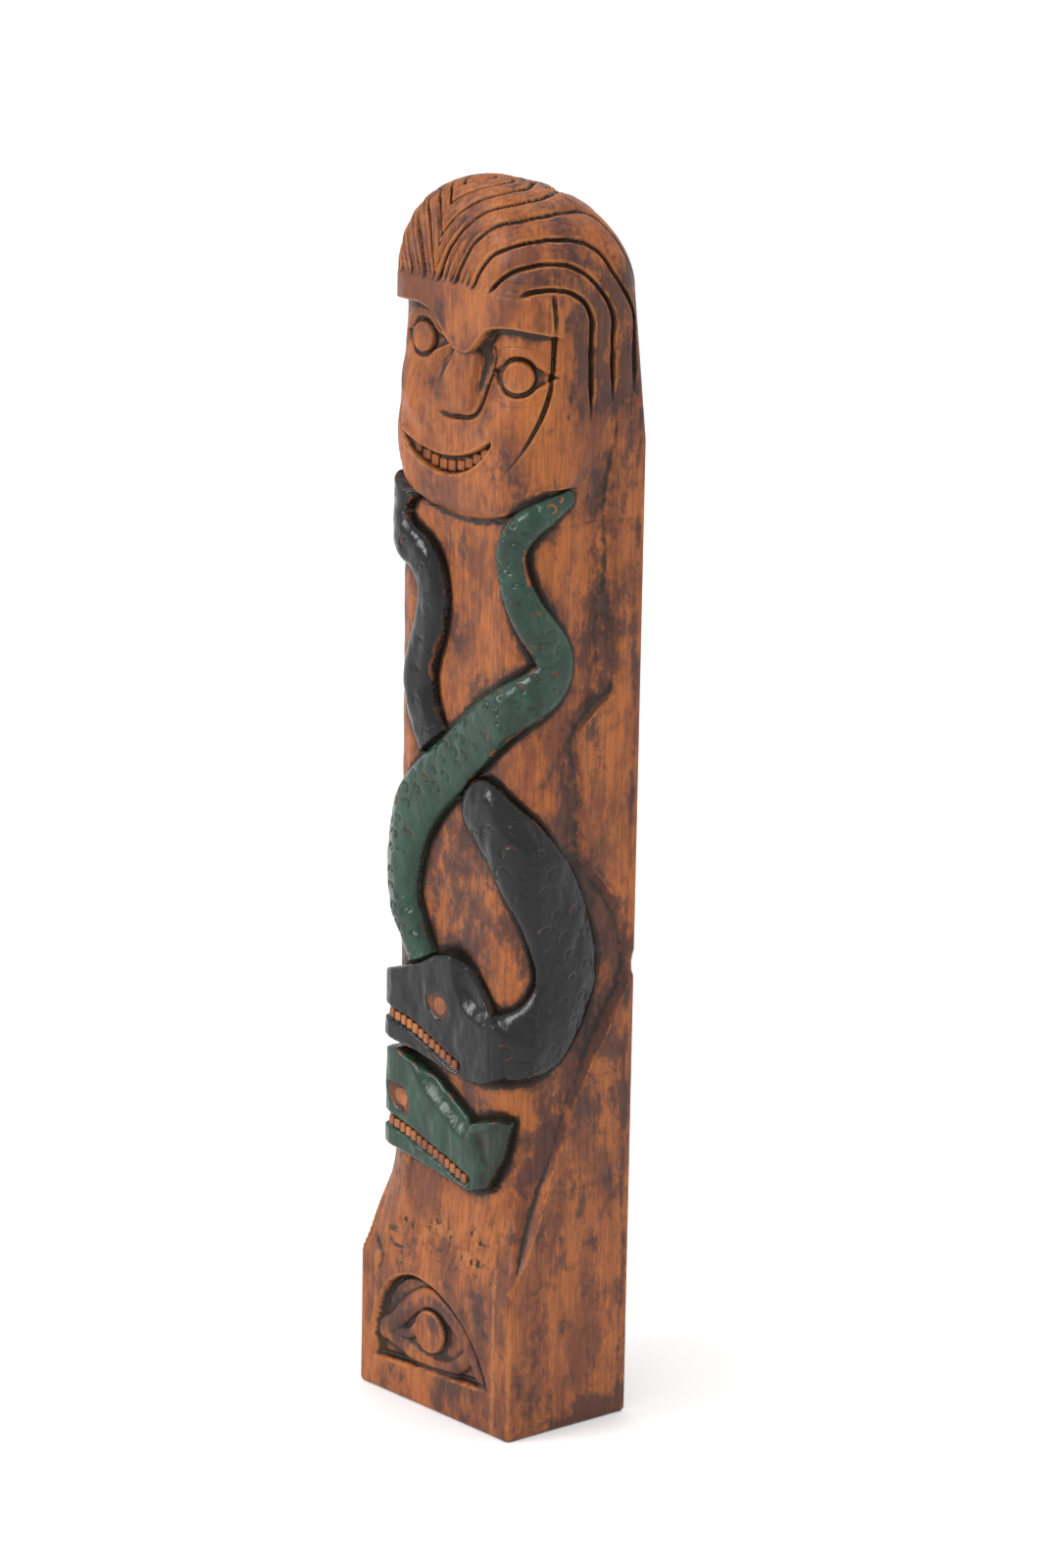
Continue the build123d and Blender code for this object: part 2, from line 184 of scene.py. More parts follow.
def right_half():
    """Columns from the front middle to the rear middle: across, point and direction."""
    rows = []
    count = int(round(SIDE_END / STEP))
    for i in range(count + 1):
        s = SIDE_END * i / count
        if s <= FLAT:
            rows.append((s, s, GROUND_FRONT, 0, -1))
        elif s <= FLAT + BEND:
            a = (s - FLAT) / CORNER
            rows.append((s, FLAT + CORNER * math.sin(a), CORNER_Y - CORNER * math.cos(a),
                         math.sin(a), -math.cos(a)))
        else:
            rows.append((s, BLOCK_SIDE - SIDE_INSET, CORNER_Y + s - FLAT - BEND, 1, 0))
    x, y = BLOCK_SIDE - SIDE_INSET - 1.0, BLOCK_BACK - SIDE_INSET - 1.0
    for i in range(1, CORNER_STEPS):
        a = math.pi / 2 * i / CORNER_STEPS
        rows.append((SIDE_END + a, x + math.cos(a), y + math.sin(a), math.cos(a), math.sin(a)))
    for i in range(BACK_STEPS + 1):
        run = x * i / BACK_STEPS
        rows.append((SIDE_END + 1.6 + run, x - run, y + 1.0, 0, 1))
    return np.array(rows)


half = right_half()
mirrored = half[1:-1][::-1] * np.array([-1, -1, 1, -1, 1])
columns = np.vstack([mirrored, half])
ACROSS, IX, IY, NX, NY = columns.T
print("columns", len(ACROSS), "across", ACROSS.min().round(1), ACROSS.max().round(1))


def block_height_at(radius=1.2):
    """How far out each column can go before it leaves the block of timber."""
    reach = np.zeros(len(ACROSS))
    depth = (BLOCK_BACK - BLOCK_FRONT) / 2
    for _ in range(60):
        px, py = IX + NX * reach, IY + NY * reach
        qx, qy = np.abs(px) - BLOCK_SIDE + radius, np.abs(py) - depth + radius
        outside = np.hypot(np.maximum(qx, 0), np.maximum(qy, 0)) - radius
        reach -= outside + np.minimum(np.maximum(qx, qy), 0)
    return reach


BLOCK = block_height_at()
FACE_X = np.where(np.abs(ACROSS) < SIDE_END, IX + NX * BLOCK, IX)   # X on the block's front

# %% Rows up the post, with a domed top
DOME_FOOT = CROWN - 33.0
DOME_RUN = 48.0                             # length of the dome's curve, foot to crown
DOME_ROWS = 110
straight_rows = np.arange(int(round(DOME_FOOT / STEP)) + 1) * STEP
straight_rows *= DOME_FOOT / straight_rows[-1]
UP = np.concatenate([straight_rows, DOME_FOOT + DOME_RUN * np.arange(1, DOME_ROWS + 1) / DOME_ROWS])
LEAN = np.clip((UP - DOME_FOOT) / DOME_RUN, 0, 1) * math.pi / 2     # 0 on the post, 90 at the crown
S, T = np.meshgrid(ACROSS, UP)
FX = np.broadcast_to(FACE_X, S.shape)
BLOCK_MAP = np.broadcast_to(BLOCK, S.shape)
SIDE = np.abs(S)
print("rows", len(UP), "grid points", S.size)

# %% [markdown]
# ## Drawing tools
# A handful of small functions draw on the sheet: soft steps, unions and patches, distances to
# lines and outlines, and a seeded noise that stands for the waver of hand tools.

# %% Soft steps, unions, patches and noise
def soft_step(x, start, end):
    k = np.clip((x - start) / (end - start), 0, 1)
    return k * k * (3 - 2 * k)


def soft_max(a, b, width):
    k = np.clip(0.5 + (a - b) / (2 * width), 0, 1)
    return b + (a - b) * k + width * k * (1 - k)


def soft_min(a, b, width):
    return -soft_max(-a, -b, width)


def mix(a, b, k):
    return a + (b - a) * k


def patch(x, across, up, wide, high):
    """A soft round patch, 1 in its middle; x is the coordinate that across is counted in."""
    return np.exp(-((x - across) / wide) ** 2 - ((T - up) / high) ** 2)


def waver(size_across, size_up, seed):
    """Smooth random unevenness from about -1 to 1, with the given sizes in millimetres."""
    local = np.random.default_rng(seed)
    u = (S + 120.0) / size_across
    v = T / size_up
    grid = local.uniform(-1, 1, (int(v.max()) + 3, int(u.max()) + 3))
    i, j = np.floor(v).astype(int), np.floor(u).astype(int)
    a, b = v - i, u - j
    a, b = a * a * (3 - 2 * a), b * b * (3 - 2 * b)
    low = mix(grid[i, j], grid[i, j + 1], b)
    high = mix(grid[i + 1, j], grid[i + 1, j + 1], b)
    return mix(low, high, a)


print("noise from", waver(7, 7, 1).min().round(2), "to", waver(7, 7, 1).max().round(2))

# %% Lines, outlines and grooves
def smooth_path(points, per_span=8):
    """A Catmull-Rom curve through given points; any further values ride along."""
    p = np.array(points, float)
    p = np.vstack([2 * p[0] - p[1], p, 2 * p[-1] - p[-2]])
    out = []
    for i in range(1, len(p) - 2):
        for t in np.arange(per_span) / per_span:
            a, b, c, d = p[i - 1:i + 3]
            out.append(0.5 * (2 * b + (c - a) * t + (2 * a - 5 * b + 4 * c - d) * t ** 2
                              + (3 * b - a - 3 * c + d) * t ** 3))
    out.append(p[-2])
    return np.array(out)


def near_path(path, x=None, y=None):
    """Distance to a path, side of it, length along it, and its riding values there."""
    x = S if x is None else x
    y = T if y is None else y
    best = np.full(x.shape, 1e9)
    side = np.zeros(x.shape)
    along = np.zeros(x.shape)
    extra = [np.zeros(x.shape) for _ in range(path.shape[1] - 2)]
    run = 0.0
    for a, b in zip(path[:-1], path[1:]):
        d = b[:2] - a[:2]
        length = math.hypot(*d)
        k = np.clip(((x - a[0]) * d[0] + (y - a[1]) * d[1]) / length ** 2, 0, 1)
        ex, ey = x - a[0] - k * d[0], y - a[1] - k * d[1]
        dist = np.hypot(ex, ey)
        near = dist < best
        best = np.where(near, dist, best)
        side = np.where(near, np.sign(d[0] * ey - d[1] * ex), side)
        along = np.where(near, run + k * length, along)
        for i, e in enumerate(extra):
            extra[i] = np.where(near, a[2 + i] + k * (b[2 + i] - a[2 + i]), e)
        run += length
    return best, side, along, extra


def inside_loop(points, x, y):
    """Signed distance to a closed outline, negative inside."""
    p = np.array(points, float)
    best = np.full(x.shape, 1e9)
    odd = np.zeros(x.shape, bool)
    for a, b in zip(p, np.roll(p, -1, 0)):
        d = b - a
        k = np.clip(((x - a[0]) * d[0] + (y - a[1]) * d[1]) / (d @ d), 0, 1)
        best = np.minimum(best, np.hypot(x - a[0] - k * d[0], y - a[1] - k * d[1]))
        crosses = (a[1] > y) != (b[1] > y)
        rise = d[1] if abs(d[1]) > 1e-9 else 1e-9
        odd ^= crosses & (x < a[0] + (y - a[1]) / rise * d[0])
    return np.where(odd, -best, best)


def groove(distance, width, depth):
    """A V cut with a rounded lip, as a depth."""
    return depth * (1 - soft_step(np.abs(distance), 0, width))


print("a 2 mm groove, 1 mm from its middle, is", groove(1.0, 2.0, 1.0), "of its depth")

# %% [markdown]
# ## The ground
# Between the features the wood is cut back to a rounded ground.  The two sides keep the sawn
# face of the timber at the back, and a ridge wanders up them where the gouge stopped.  The
# plinth keeps the whole block, and a sloping shoulder leads up from it.  The ridge is a short
# list of points with a curve through them, because the real one follows no rule.

# %% The ridge on each side
# Where the sawn face of the side begins: (height, across), from the plinth up to the neck.
RIDGE = [(44, 26), (50, 31), (71, 37), (86, 41.5), (101, 47), (111, 51), (128, 62), (138, 68),
         (148, 73), (160, 71), (172, 66), (188, 54), (213, 51), (228, 49), (236, 56), (243, 65),
         (261, 64.5), (286, 63.5), (305, 61.5), (330, 64), (367, 70)]
ridge_path = smooth_path(RIDGE, 4)
ridge_right = np.interp(T, ridge_path[:, 0], ridge_path[:, 1])
ridge_left = np.interp(T + 9, ridge_path[:, 0], ridge_path[:, 1]) - 1.5
ridge = np.where(S > 0, ridge_right, ridge_left) + 0.6 * waver(9, 12, 11)
behind = SIDE - ridge                       # positive on the sawn face
print("ridge from", ridge.min().round(1), "to", ridge.max().round(1), "mm across")

# %% The ground and the hollows beside the snakes
ground = 0.35 * waver(11, 26, 1) + 0.16 * waver(4, 9, 2) + 0.05 * waver(1.3, 5, 3)
dished = -3.8 * patch(SIDE, 55, 152, 13, 27) - 1.9 * patch(SIDE, 54, 272, 11, 34)
from_ridge = np.maximum(-behind, 0)
edge_of_face = np.interp(ridge, ACROSS, BLOCK)
facet = edge_of_face - 0.85 * from_ridge - 0.03 * from_ridge ** 2
scallop = 1.5 * np.exp(-((behind + 6.5) / 4.5) ** 2) * (0.6 + 0.4 * waver(8, 24, 77))
scallop = scallop * soft_step(T, 84, 100) * (1 - soft_step(T, 296, 312))
ground = ground + dished - scallop
carved = soft_max(ground, facet, 0.35)
sawn_face = BLOCK_MAP - 0.06 - 0.07 * np.abs(waver(7, 60, 4))
wood = np.minimum(carved, sawn_face)
print("deepest hollow", dished.min().round(2), "mm")

# %% The plinth's shoulder, with torn fibres on it
shoulder_foot = 44 + 6 * np.clip(FX / BLOCK_SIDE, -1, 1)
k = np.clip((T - shoulder_foot) / (SHAFT_FOOT + 2 - shoulder_foot), 0, 1)
shoulder = mix(BLOCK_MAP, ground, 1 - (1 - k) ** 1.35) + 0.18 * waver(5, 6, 5) * soft_step(k, 0, 0.2)
wood = np.where(T < SHAFT_FOOT + 2, np.minimum(np.maximum(shoulder, facet), sawn_face), wood)
wood = mix(wood, sawn_face, soft_step(behind, -0.7, 0.5))
torn_area = (patch(FX, 8, 58, 17, 9) + 0.7 * patch(FX, -20, 55, 9, 8)) * (SIDE < FRONT_END)
torn = soft_step(waver(3.4, 2.2, 71) + 0.5 * waver(6, 5, 72), 0.30, 0.40) * soft_step(torn_area, 0.2, 0.5)
tear_up = soft_step(waver(1.6, 4.2, 73) + 0.5 * waver(4, 6, 74), 0.45, 0.6)
tear_up = tear_up * soft_step(torn_area, 0.2, 0.6)
wood = wood - 0.45 * torn - 0.4 * tear_up
foot_round = np.clip(1 - T / 1.4, 0, 1) ** 2       # the worn lower edge
wood = wood - foot_round
sawn_face = sawn_face - foot_round
print("ground from", wood.min().round(2), "to", wood.max().round(2))

# %% [markdown]
# ## The plinth's eye
# A sunk panel with a straight foot and an arched top, and in it one eye: a thick upper lid that
# follows the arch, a lower lid, and a flat round iris that stands nearly as high as the block.
# The lids are half-round ridges along curves, and the panel's edge cuts them off.

# %% The plinth's eye
PANEL = [(-30, 11), (-30, 23), (-27.5, 31), (-22, 38.5), (-13.5, 42.5), (-4, 42), (5, 39), (14, 33),
         (20.5, 26), (25, 19), (27, 14.6)]
EYE_MIDDLE = (-3.0, 26.0)
IRIS = 7.2


def draw_panel(wood):
    outline = inside_loop(np.vstack([[PANEL[0]], smooth_path(PANEL[1:], 4)]), FX, T)
    outline = np.where(SIDE < FRONT_END, outline, 99.0)
    floor = BLOCK_MAP - 2.5
    x, y = FX - EYE_MIDDLE[0], T - EYE_MIDDLE[1]
    upper = smooth_path([(-27, 20.5), (-20, 26), (-11, 34), (-2, 37), (8, 33), (17, 25), (24.5, 15.5)])
    lower = smooth_path([(-26, 20), (-17, 17.5), (-6, 14.8), (5, 15.2), (13, 20), (17, 24.5)])
    inner = smooth_path([(-24, 21.5), (-15, 22), (-9, 27), (-7, 31)])
    lid = np.zeros_like(wood)
    for line, width, height in ((upper, 3.6, 2.0), (lower, 2.8, 1.6), (inner, 2.0, 1.2)):
        d = near_path(line, FX, T)[0]
        lid = np.maximum(lid, height * np.sqrt(np.clip(1 - (d / width) ** 2, 0, 1)))
    around = np.hypot(x, y)
    socket = 0.9 * (1 - soft_step(np.hypot(x / 1.35, y), 8.0, 9.6))
    iris = 2.3 * (1 - soft_step(around, IRIS - 0.6, IRIS + 0.5)) - 0.15 * (around < IRIS - 1.6)
    relief = np.maximum(lid - socket * (lid < 0.4), iris)
    panel = floor + relief + 0.10 * waver(2.2, 3.5, 21)
    edge_cut = 0.9 * np.exp(-((outline + 0.9) / 0.8) ** 2)
    panel = panel - edge_cut
    k = soft_step(-outline, -0.75, 0.85)
    return mix(wood, np.minimum(panel, wood), k), outline


wood, panel_outline = draw_panel(wood)
print("panel depth", round(float((BLOCK_MAP - wood)[panel_outline < -2].max()), 2))

# %% [markdown]
# ## The head
# The face bulges a little from the ground and ends below in a round chin.  A heavy brow
# overhangs two sockets with almond eyes, the nose stands up to the block's face, and the mouth
# is a crescent cut with teeth left standing in it.  It is a plain mask laid out from one
# middle line, with its eyes, brow and mouth a little askew, as a quick carver leaves them.

# %% Where the features of the face sit
FACE_MIDDLE = 5.0                           # the mask's middle line, right of the block's, mm
EYE_OUT, EYE_UP, EYE_TILT = 21.8, 345.9, -0.14
MOUTH_MIDDLE, MOUTH_HALF, MOUTH_UP, MOUTH_TILT = -1.8, 21.5, 319.6, 0.075
NOSE_FOOT = 328.5
HEAD_SIDE = 62                              # across value behind which the head keeps its sawn face
BROW_LINE = [(0, 347.6), (4.5, 348.8), (9, 353.2), (13, 357.3), (20, 359.2), (28, 358.6), (36, 357.0)]
TEMPLE = smooth_path([(34, 372), (35.2, 362), (35.3, 350), (34.5, 340), (31.5, 330), (27, 320),
                      (22.5, 313)])
print("eyes", 2 * EYE_OUT, "mm apart, mouth", 2 * MOUTH_HALF, "mm wide")

# %% The bulge of the face, its sockets, cheeks and brow
def draw_face():
    x = S - FACE_MIDDLE
    ax = np.abs(x)
    chin_line = CHIN - 1 + 0.0085 * (x + 2) ** 2
    bulge = 3.4 - soft_step(ax, 22, 46) + 0.5 * np.exp(-((T - 330) / 14) ** 2)
    bulge = bulge - 1 + soft_step(T, chin_line, chin_line + 12)
    bulge = bulge + 0.28 * waver(13, 17, 31) + 0.10 * waver(3, 6, 32)
    brow_path = smooth_path(BROW_LINE, 6)
    brow_edge = np.interp(ax, brow_path[:, 0], brow_path[:, 1]) - 0.055 * x
    # the sockets: cut back under the brow and deepest beside the nose
    socket = soft_step(brow_edge - T, -0.2, 1.0) * soft_step(T, 328, 349)
    face = bulge - socket * (2.5 + 1.2 * np.exp(-((ax - 9) / 5) ** 2))
    face = face + 1.1 * patch(ax, 17, 327, 9, 7)
    # a facet runs from the cheek back to the temple
    cheek_edge = near_path(smooth_path([(31, 345), (29, 336), (24, 328), (15, 321)]), ax, T)
    outer = soft_step(cheek_edge[0] * np.sign(cheek_edge[1]), 0, 7) * (T < 346) * (ax > 12)
    face = face - 1.4 * outer * soft_step(T, 317, 328) * soft_step(346 - T, 0, 4)
    brow = soft_step(T, brow_edge - 0.5, brow_edge + 0.4) * (1 - soft_step(T, HAIRLINE - 5, HAIRLINE + 2))
    return face + 1.6 * brow * (1 - 0.5 * soft_step(ax, 26, 40)), chin_line, brow_edge


face, chin_line, brow_edge = draw_face()
print("face stands", face[(T > CHIN) & (T < HAIRLINE)].max().round(2), "mm")

# %% The nose
def draw_nose(face):
    """A wedge that widens downwards, square at its foot, with a cut round its wing."""
    k = soft_step(T, NOSE_FOOT, 352)
    nose_x = np.abs(S - mix(0.6, 6.0, k))
    nose_half = mix(9.4, 4.8, k)
    flank = soft_step(nose_half + 2.2 - nose_x, 0, 3.4)
    foot_line = NOSE_FOOT + 0.018 * nose_x ** 2
    foot = soft_step(T, foot_line - 0.8, foot_line + 1.4)
    beside_nose = np.exp(-((nose_x - nose_half - 4.0) / 3.6) ** 2) * soft_step(T, 324, 331)
    face = face - 1.3 * beside_nose * (1 - soft_step(T, 346, 352)) * (nose_x > nose_half - 1)
    stands = mix(5.4, 3.6, soft_step(T, 332, 352)) - 0.016 * nose_x ** 2
    nose_mask = flank * foot * (1 - soft_step(T, 347, 352))
    face = mix(face, np.maximum(face, stands), nose_mask)
    wing = near_path(smooth_path([(12.6, 350), (12.8, 340), (12.4, 332), (9.5, 328.2), (0, 326.8)], 4),
                     np.abs(S - mix(0.6, 4.0, k)), T)[0]
    return face - groove(wing, 1.2, 1.6) * soft_step(S, -7, -1), nose_mask


face, nose_mask = draw_nose(face)
print("nose is", round(float(np.ptp(T[nose_mask > 0.5])), 1), "mm long")

# %% The eyes and the mouth
def eye_coordinates():
    """Distances from the middle of whichever eye is nearer."""
    x = S - FACE_MIDDLE
    centre_up = EYE_UP + EYE_TILT * np.sign(x) * EYE_OUT
    return np.abs(x) - EYE_OUT, T - centre_up


def draw_eyes(face):
    """Pointed almond cuts, each around a flat round disc."""
    x, y = eye_coordinates()
    around = np.hypot(x, y)
    ring = 1.5 * (1 - soft_step(np.abs(around - 5.6), 0.35, 1.05))
    reach = np.clip(1 - (np.abs(x) - 4.5) / 8.0, 0, 1)
    point = 3.9 * reach ** 1.15 - np.abs(y)
    corner = 1.5 * soft_step(point, -0.4, 0.6) * (reach > 0) * soft_step(around, 4.6, 5.4)
    lid = 0.45 * np.exp(-((around - 8.2) / 1.1) ** 2) * (y > 1)
    disc = 0.5 * (1 - soft_step(around, 4.0, 5.0)) - 0.3 * (1 - soft_step(around, 2.8, 3.8))
    return face - np.maximum(ring, corner) + disc + lid


def draw_mouth(face):
    """A crescent between two arcs; the teeth are separate pieces that stand on its floor."""
    x = (S - MOUTH_MIDDLE) / MOUTH_HALF
    line = MOUTH_UP + MOUTH_TILT * (S - MOUTH_MIDDLE)
    bow = np.clip(1 - x ** 2, 0, 1)
    upper = line + 0.6 - 6.2 * bow
    lower = line - 0.6 - 10.6 * bow ** 0.85
    inside = np.minimum(np.minimum(upper - T, T - lower), (1 - np.abs(x)) * MOUTH_HALF)
    cut = 2.5 * soft_step(inside, -0.35, 0.55)
    lip = 0.5 * np.exp(-((inside + 1.2) / 0.9) ** 2)
    return face - cut + lip * (np.abs(x) < 1), inside


face, mouth_inside = draw_mouth(draw_eyes(face))
print("mouth is", round(float(np.ptp(S[mouth_inside > 0])), 1), "mm wide")

# %% The face set into the head
spread = 14 * soft_step(np.abs(S - 3), 34, 48)     # the jaw melts into the neck at the sides
in_face = soft_step(T, chin_line - 0.3 - spread, chin_line + 0.8 + 0.4 * spread)
temple_line = near_path(TEMPLE, np.abs(S - 2.0), T)[0]
fade = soft_step(SIDE, 40, 58)
side_of_head = mix(face, np.minimum(np.maximum(wood, 0.9), sawn_face), fade)
taper = soft_step(T, 312, 336)
face_map = side_of_head - groove(temple_line, 0.55 + 0.7 * taper, 0.5 + 1.4 * taper)
on_head = soft_step(T, CHIN - 2, CHIN + 4) * (SIDE <= SIDE_END)
wood = mix(wood, np.where(SIDE > HEAD_SIDE, sawn_face, mix(wood, face_map, in_face)), on_head)
wood = np.minimum(wood, sawn_face)
print("head stands", wood[T > CHIN].max().round(2), "mm")

# %% [markdown]
# ## The hair
# The hair is combed back from the forehead.  Each strand is a rounded ridge between two long
# gouge cuts that start at the hairline, arch over the temple and run down the side.  All the
# cuts follow one rule, the distance from the temple, so the strands never cross.  Real hair
# curves would look like a wig here: these are broad wooden ridges.

# %% Which strand each point belongs to
# Distance of each cut from the temple where it arches over, and where it ends at the side.
STRANDS = [(12.5, 15.0), (20.0, 24.0), (27.5, 33.0), (36.0, 41.0), (43.0, 48.0), (49.5, 55.0),
           (56.0, 61.0), (63.0, 67.0), (70.0, 72.0)]
STRAND_FEET = [330, 334, 336, 344, 350, 354, 358, 360, 362]
TEMPLE_ACROSS, TEMPLE_UP, PARTING = 35.5, 358.0, -8.0


def combed():
    """Distance from the temple, round which the strands run, and how far they are on their way down."""
    squeeze = np.cos(LEAN * 0.93)[:, None]
    x = S * squeeze - PARTING
    reach = TEMPLE_ACROSS - PARTING
    away = np.where(x > 0, x - reach, -x * reach / (TEMPLE_ACROSS + PARTING) - reach)
    comb = np.where(T > TEMPLE_UP, np.hypot(away, T - TEMPLE_UP), np.abs(away))
    comb = comb + 0.45 * waver(14, 14, 41) + 0.16 * waver(3.5, 3.5, 43)
    return comb, soft_step(away, 0, 12) * (1 - soft_step(T, 356, 376))


comb, descending = combed()
above = soft_step(T, HAIRLINE - 2 + 0.015 * SIDE, HAIRLINE + 0.5 + 0.015 * SIDE)
beside = soft_step(SIDE, 38, 41) * (SIDE < SIDE_END + 2)
in_hair = np.maximum(above, beside * soft_step(T, 324, 330))
print("strands", len(STRANDS), "reaching", comb[in_hair > 0.5].max().round(), "mm from the temple")

# %% The strands, the long cuts and the fine ones
def draw_strands():
    """Rounded ridges, and the depth of the cuts between them."""
    strands = np.zeros_like(S)
    cuts = np.zeros_like(S)
    placed = [mix(high, low, descending) for high, low in STRANDS]
    edges = [placed[0] - 8] + placed + [placed[-1] + 8]
    for low, high in zip(edges[:-1], edges[1:]):
        k = (comb - (low + high) / 2) / ((high - low) / 2)
        strands = np.where(np.abs(k) < 1, 0.9 * (1 - k ** 2), strands)
    for radius, foot in zip(placed, STRAND_FEET):
        taper = soft_step(T, foot - 1, foot + 9)
        wide = mix(0.95, 1.7, descending) * (0.35 + 0.65 * taper)
        cuts = np.maximum(cuts, groove(comb - radius, wide, mix(1.7, 2.3, descending)) * taper ** 0.5)
    fine = (1 - np.abs(2 * ((comb / 2.6 + 0.2 * waver(6, 9, 44)) % 1) - 1)) ** 2
    fan = soft_step(-S, -20, 0) * (1 - soft_step(T, HAIRLINE + 8, HAIRLINE + 30))
    fan = fan * (1 - soft_step(-S, 34, 46))
    return strands, np.maximum(cuts, 1.1 * fine * fan)


def draw_hair(wood):
    """The dressed hair laid over the head; across the back its cuts fade into the plain rear face."""
    lean = (LEAN / (math.pi / 2))[:, None]
    cap = mix(np.minimum(3.8, BLOCK_MAP), 4.9, soft_step(lean, 0.0, 0.55))
    behind_head = mix(np.minimum(cap, sawn_face), 4.9, soft_step(lean, 0, 0.5))
    cap = np.where(SIDE > HEAD_SIDE, behind_head, cap)
    strands, cuts = draw_strands()
    scratch = (1 - np.abs(2 * ((comb / 1.9 + 0.3 * waver(5, 6, 45)) % 1) - 1)) ** 4
    dressed = cap + (strands - 0.9) * 0.8 - cuts
    dressed = dressed - 0.42 * scratch * soft_step(waver(6, 9, 46), 0, 0.5) + 0.06 * waver(1.6, 6, 42)
    rear = soft_step(SIDE, SIDE_END - 4, SIDE_END + 1)
    plain = mix(sawn_face, 4.6, soft_step(lean, 0, 0.4))
    dressed = mix(dressed, plain, rear * (1 - soft_step(lean, 0.1, 0.5)))
    return mix(wood, dressed, np.maximum(in_hair, soft_step(T, DOME_FOOT, DOME_FOOT + 3)))


wood = draw_hair(wood)
wood = np.where(T <= DOME_FOOT, np.minimum(wood, sawn_face), wood)
print("hair stands", wood[in_hair > 0.9].max().round(2))

# %% [markdown]
# ## The snakes
# Each snake is a low rounded body on the ground.  Its middle line is a short list of points on
# the sheet, with the width of the body at each one, and a smooth curve runs through them.  The
# green snake crosses over the black one.  Both heads are flat on top, because there the sawn
# face of the block was left standing.

# %% Middle lines and outlines
GREEN_LINE = [(42.5, 304.5, 3.2), (36.5, 301.5, 4.6), (29.5, 296, 5.2), (25.8, 288.5, 5.0),
              (26.3, 281, 5.0), (29.3, 272, 5.6), (33.6, 264.4, 6.2), (38.8, 256.5, 6.6),
              (40.0, 250.5, 7.0), (34.9, 244, 7.6), (25.4, 237.4, 8.0), (15.8, 229.8, 8.8), (1.4, 216.3, 9.4),
              (-12.0, 204.2, 9.8), (-20.5, 192, 10.0), (-24, 179, 9.2), (-23.5, 167.7, 8.0),
              (-18.5, 159.2, 6.4), (-14.2, 151, 6.0), (-11, 144, 6.0)]
TAIL_LINE = [(-14, 307, 5.4), (-22, 303, 6.0), (-29, 297, 7.0), (-31, 290, 7.4), (-25, 283.8, 7.2),
             (-16, 279.3, 6.8), (-11, 271, 6.8), (-11.5, 259.7, 6.8), (-14.9, 249.9, 6.6),
             (-16.6, 240, 6.8), (-14.4, 229, 7.0), (-8, 219, 7.2), (0, 210, 7.0)]
COIL_LINE = [(16.5, 203.0, 11.0), (21.3, 198.5, 11.4), (27.0, 194.0, 11.3), (33.6, 185.0, 12.0),
             (39.8, 175.5, 12.4), (45, 164.5, 12.8), (48, 153.5, 13.0), (46.5, 143.8, 12.6),
             (40.5, 134.8, 12.2), (32, 129.2, 11.8), (23.1, 127.0, 11.6), (14, 126.5, 11.6)]
BLACK_HEAD = [(-27.5, 119.5), (-27, 142.5), (-20, 145), (-10, 149), (-3, 153), (4, 154.5), (11, 151.5),
              (17, 145), (22, 139), (28, 134), (28, 119), (21, 115), (13, 114.6), (5, 115.2), (-12, 118.2)]
GREEN_HEAD = [(-27, 84), (-26, 117), (-21, 117.5), (-14, 115), (-4, 111.5), (6, 105.5), (14, 101),
              (19, 102.8), (25, 104.6), (30, 104), (27, 90), (22.5, 80.5), (15, 78.2), (2, 80), (-14, 82.5)]
HEAD_PLATE = (5.3, 1.6)                     # how far a flat head stands, and its rounded edge
print("points: green", len(GREEN_LINE), "tail", len(TAIL_LINE), "coil", len(COIL_LINE))

# %% Bodies and flat heads from those lines
def body(line, stand, flatness=3.0):
    """Height of one body, distance beyond its edge, and the places along and across it."""
    d, side, along, (half,) = near_path(smooth_path(line, 6))
    k = np.clip(d / half, 0, 1)
    crown = stand * (1 - k ** flatness) ** (1 / 1.7)
    outside = d - half
    return np.where(outside > 0, -2.2 * outside, crown), outside, along, side * d, half


def rounded_plate(outline, stand, edge):
    """Height of a flat-topped plate with a rounded edge, from its outline."""
    depth = np.clip(-outline, 0, edge)
    crown = stand - edge + np.sqrt(np.clip(edge ** 2 - (edge - depth) ** 2, 0, None))
    return np.where(outline > 0, -2.2 * outline, crown * soft_step(-outline, 0, 0.5))


green_body, green_out, green_along, green_across, green_half = body(GREEN_LINE, 5.0)
tail_body, tail_out, tail_along, tail_across, tail_half = body(TAIL_LINE, 4.3)
behind_chin = (T - chin_line + 0.6) * 0.8
tail_out = np.maximum(tail_out, behind_chin)
tail_body = np.where(behind_chin > 0, np.minimum(tail_body, -2.2 * behind_chin), tail_body)
coil_body, coil_out, coil_along, coil_across, coil_half = body(COIL_LINE, 5.4, 2.6)
black_plate_out = inside_loop(BLACK_HEAD, S, T)
green_plate_out = inside_loop(GREEN_HEAD, S, T)
black_plate = rounded_plate(black_plate_out, *HEAD_PLATE)
green_plate = rounded_plate(green_plate_out, *HEAD_PLATE)
print("green snake length", green_along.max().round(), "coil", coil_along.max().round())

# %% [markdown]
# The heads are flat, so their features are cut down into the plate: a band along the mouth
# that the teeth stand in, an almond that shows bare wood, and broad slopes behind the brow and
# at the nape that catch the light along one edge.

